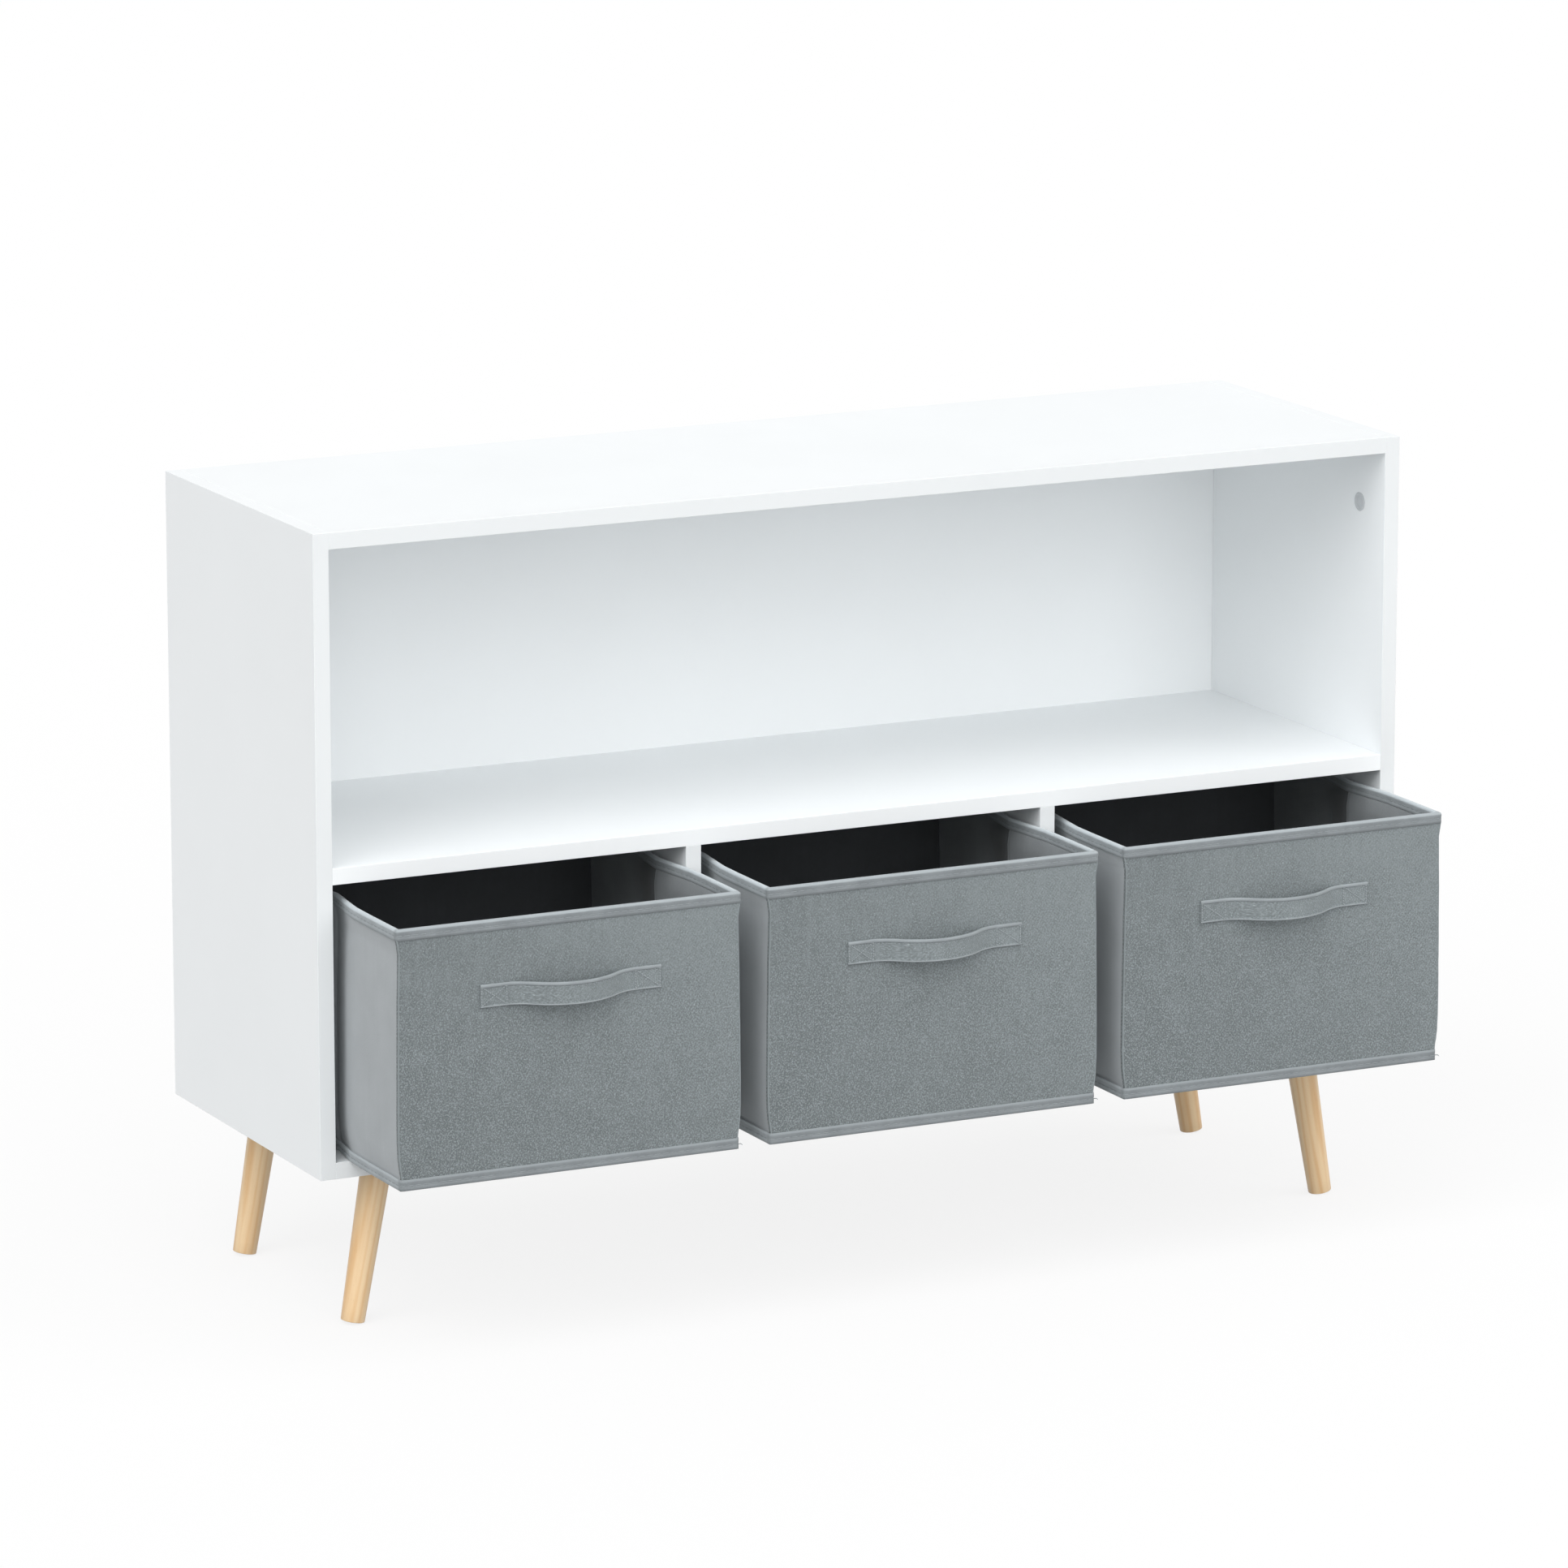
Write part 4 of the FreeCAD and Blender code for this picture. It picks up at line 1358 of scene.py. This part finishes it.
class TOYSTORAGE_OT_bin_tapes(bpy.types.Operator):
    """Binds the bins' rims and feet and sews every seam"""

    bl_idname = "toy_storage.bin_tapes"
    bl_label = "Bind and sew the bins"

    def execute(self, context):
        sizes = settings().bins
        form = BinForm(BIN_NAMES[0], sizes)
        edges = {"rim": form.rim, "foot": form.foot, "foot_top": form.foot + form.foot_tape}
        bands = [(edges[edge] / MM + up, *band) for edge, up, *band in TAPE_LIGHT_AND_SHADE_BANDS]
        tape = Materials.get("binding_tape", ribbed_tape, tuple(sizes.tape), bands,
                             behind=form.front / MM)
        thread = Materials.get("grey_thread", twisted_thread, tuple(sizes.thread_colour))
        for name in BIN_NAMES:
            bindings(BinForm(name, sizes), tape, thread)
        return {"FINISHED"}


class TOYSTORAGE_OT_bin_bases(bpy.types.Operator):
    """Lays the bins' cloth floors and covered base boards"""

    bl_idname = "toy_storage.bin_bases"
    bl_label = "Lay the bins' bases"

    def execute(self, context):
        sizes = settings().bins
        under = Materials.get("floor_cloth", pressed_cloth, scaled(tuple(sizes.side_lining), 0.7))
        cover = Materials.get("board_cover", pressed_cloth, tuple(sizes.end_lining))
        for name in BIN_NAMES:
            form = BinForm(name, sizes)
            low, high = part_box(name + "_floor")
            skin = sheet_stack(form, low.z + 0.1 * MM, high.z - low.z - 0.3 * MM,
                               form.wall + 0.1 * MM)
            settle(skin.piece(name + "_floor_cloth", under), name, "bin_lining",
                   name + "_floor")
            low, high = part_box(name + "_base_board")
            skin = sheet_stack(form, low.z, high.z - low.z, form.wall + 0.6 * MM)
            settle(skin.piece(name + "_covered_board", cover), name, "base_board",
                   name + "_base_board")
        return {"FINISHED"}


class TOYSTORAGE_OT_bin_handles(bpy.types.Operator):
    """Sews the strap handles onto the bins' fronts"""

    bl_idname = "toy_storage.bin_handles"
    bl_label = "Sew the handles"

    def execute(self, context):
        sizes = settings().bins
        strap = Materials.get("strap_twill", heather_twill, scaled(tuple(sizes.front_cloth), 1.1),
                              bin_lay(), wale=2.3, depth=0.15, crisp=0.8)
        hem = Materials.get("strap_hem", ribbed_tape, scaled(tuple(sizes.tape), 1.25))
        thread = Materials.get("strap_thread", twisted_thread,
                               scaled(tuple(sizes.thread_colour), 1.1))
        for name in BIN_NAMES:
            handle(BinForm(name, sizes), strap, hem, thread)
        return {"FINISHED"}


class TOYSTORAGE_OT_stage(bpy.types.Operator):
    """Lays the pale floor and sets the soft light and the camera"""

    bl_idname = "toy_storage.stage"
    bl_label = "Set the stage"

    def execute(self, context):
        stage = settings().stage
        self.lay_floor(tuple(stage.floor), tuple(stage.bounce))
        self.light_sky(stage.sky)
        for name, around, up, share, spread in LAMPS:
            self.hang_lamp(name, around, up, stage.lamp * share, spread)
        self.set_camera(stage.lens)
        context.scene.view_settings.view_transform = "Standard"
        return {"FINISHED"}

    def lay_floor(self, colour, bounce):
        corners = [(x * FLOOR_REACH, y * FLOOR_REACH, 0)
                   for x, y in ((-1, -1), (1, -1), (1, 1), (-1, 1))]
        mesh = bpy.data.meshes.new("floor")
        mesh.from_pydata(corners, [], [(0, 1, 2, 3)])
        floor = bpy.data.objects.new("floor", mesh)
        bpy.context.scene.collection.objects.link(floor)
        finish = Finish("pale_floor")
        shell = finish.grain(60, detail=3)
        direct, mirrored, through = (
            finish.node("ShaderNodeLightPath", output="Is " + kind + " Ray")
            for kind in ("Camera", "Glossy", "Transmission"))
        seen = (direct + mirrored + through).over(0.5, 0.2)
        tone = finish.mix(scaled(colour, 0.99), colour, shell)
        tone = finish.mix(bounce, tone, seen)
        finish.paint(Base_Color=tone, Roughness=0.85 + shell * 0.1, Specular_IOR_Level=0.1)
        glow = finish.node("ShaderNodeEmission", sockets={"Color": (1, 1, 1), "Strength": 1.0})
        lit = Wire(finish, finish.shader.outputs[0])
        sockets = {0: seen * FLOOR_GLOW, 1: lit, 2: glow}
        shown = finish.node("ShaderNodeMixShader", sockets=sockets)
        finish.tree.links.new(shown.socket, finish.output.inputs["Surface"])
        mesh.materials.append(finish.material)

    def light_sky(self, strength):
        world = bpy.data.worlds.new("pale_sky")
        bpy.context.scene.world = world
        world.use_nodes = True
        nodes = Nodes(world.node_tree)
        direct, through = (nodes.node("ShaderNodeLightPath", output="Is " + kind + " Ray")
                           for kind in ("Camera", "Transmission"))
        sockets = {"Value": direct.math("MAXIMUM", direct, through), "To Min": strength}
        background = nodes.tree.nodes["Background"]
        nodes.plug(background.inputs["Color"], (1, 1, 1))
        nodes.plug(background.inputs["Strength"], nodes.node("ShaderNodeMapRange", sockets=sockets))

    def hang_lamp(self, name, around, up, strength, spread):
        lamp = bpy.data.lights.new(name, "SUN")
        lamp.energy = strength
        lamp.angle = math.radians(spread)
        around, up = math.radians(around), math.radians(up)
        toward = Vector((math.sin(around) * math.cos(up), -math.cos(around) * math.cos(up),
                         math.sin(up)))
        holder = bpy.data.objects.new(name, lamp)
        holder.rotation_mode = "QUATERNION"
        holder.rotation_quaternion = toward.to_track_quat("Z", "Y")
        holder.location = toward * LAMP_REACH
        bpy.context.scene.collection.objects.link(holder)

    def set_camera(self, lens):
        camera = bpy.data.cameras.new("camera")
        camera.sensor_width = SENSOR_WIDTH
        camera.lens = lens
        camera.clip_end = CAMERA_REACH
        holder = bpy.data.objects.new("camera", camera)
        holder.location = CAMERA_PLACE
        holder.rotation_euler = (math.radians(90 - CAMERA_DOWN), 0, -math.radians(CAMERA_TURN))
        bpy.context.scene.collection.objects.link(holder)
        bpy.context.scene.camera = holder


class VIEW3D_PT_toy_storage(bpy.types.Panel):
    """The steps that dress the cabinet, and what a user would change."""

    bl_label = "Toy storage"
    bl_idname = "VIEW3D_PT_toy_storage"
    bl_space_type = "VIEW_3D"
    bl_region_type = "UI"
    bl_category = "Toy storage"

    def draw(self, context):
        for step in STEPS:
            self.layout.operator(step.bl_idname)
        for group in ("cabinet", "bins", "stage"):
            values = getattr(context.scene.toy_storage, group)
            box = self.layout.box()
            for key in values.bl_rna.properties.keys():
                if key not in ("rna_type", "name"):
                    box.prop(values, key)


STEPS = (TOYSTORAGE_OT_boards, TOYSTORAGE_OT_fittings, TOYSTORAGE_OT_caps, TOYSTORAGE_OT_legs,
         TOYSTORAGE_OT_bin_walls, TOYSTORAGE_OT_bin_tapes, TOYSTORAGE_OT_bin_bases,
         TOYSTORAGE_OT_bin_handles, TOYSTORAGE_OT_stage)
GROUPS = (CabinetFinish, BinFinish, StageFinish, ToyStorage)


def register():
    for kind in (*GROUPS, *STEPS, VIEW3D_PT_toy_storage):
        bpy.utils.register_class(kind)
    bpy.types.Scene.toy_storage = PointerProperty(type=ToyStorage)


def unregister():
    del bpy.types.Scene.toy_storage
    for kind in reversed((*GROUPS, *STEPS, VIEW3D_PT_toy_storage)):
        bpy.utils.unregister_class(kind)


def main():
    register()
    bpy.ops.toy_storage.boards()
    bpy.ops.toy_storage.fittings()
    bpy.ops.toy_storage.caps()
    bpy.ops.toy_storage.legs()
    bpy.ops.toy_storage.bin_walls()
    bpy.ops.toy_storage.bin_tapes()
    bpy.ops.toy_storage.bin_bases()
    bpy.ops.toy_storage.bin_handles()
    bpy.ops.toy_storage.stage()


if __name__ == "__main__":
    main()
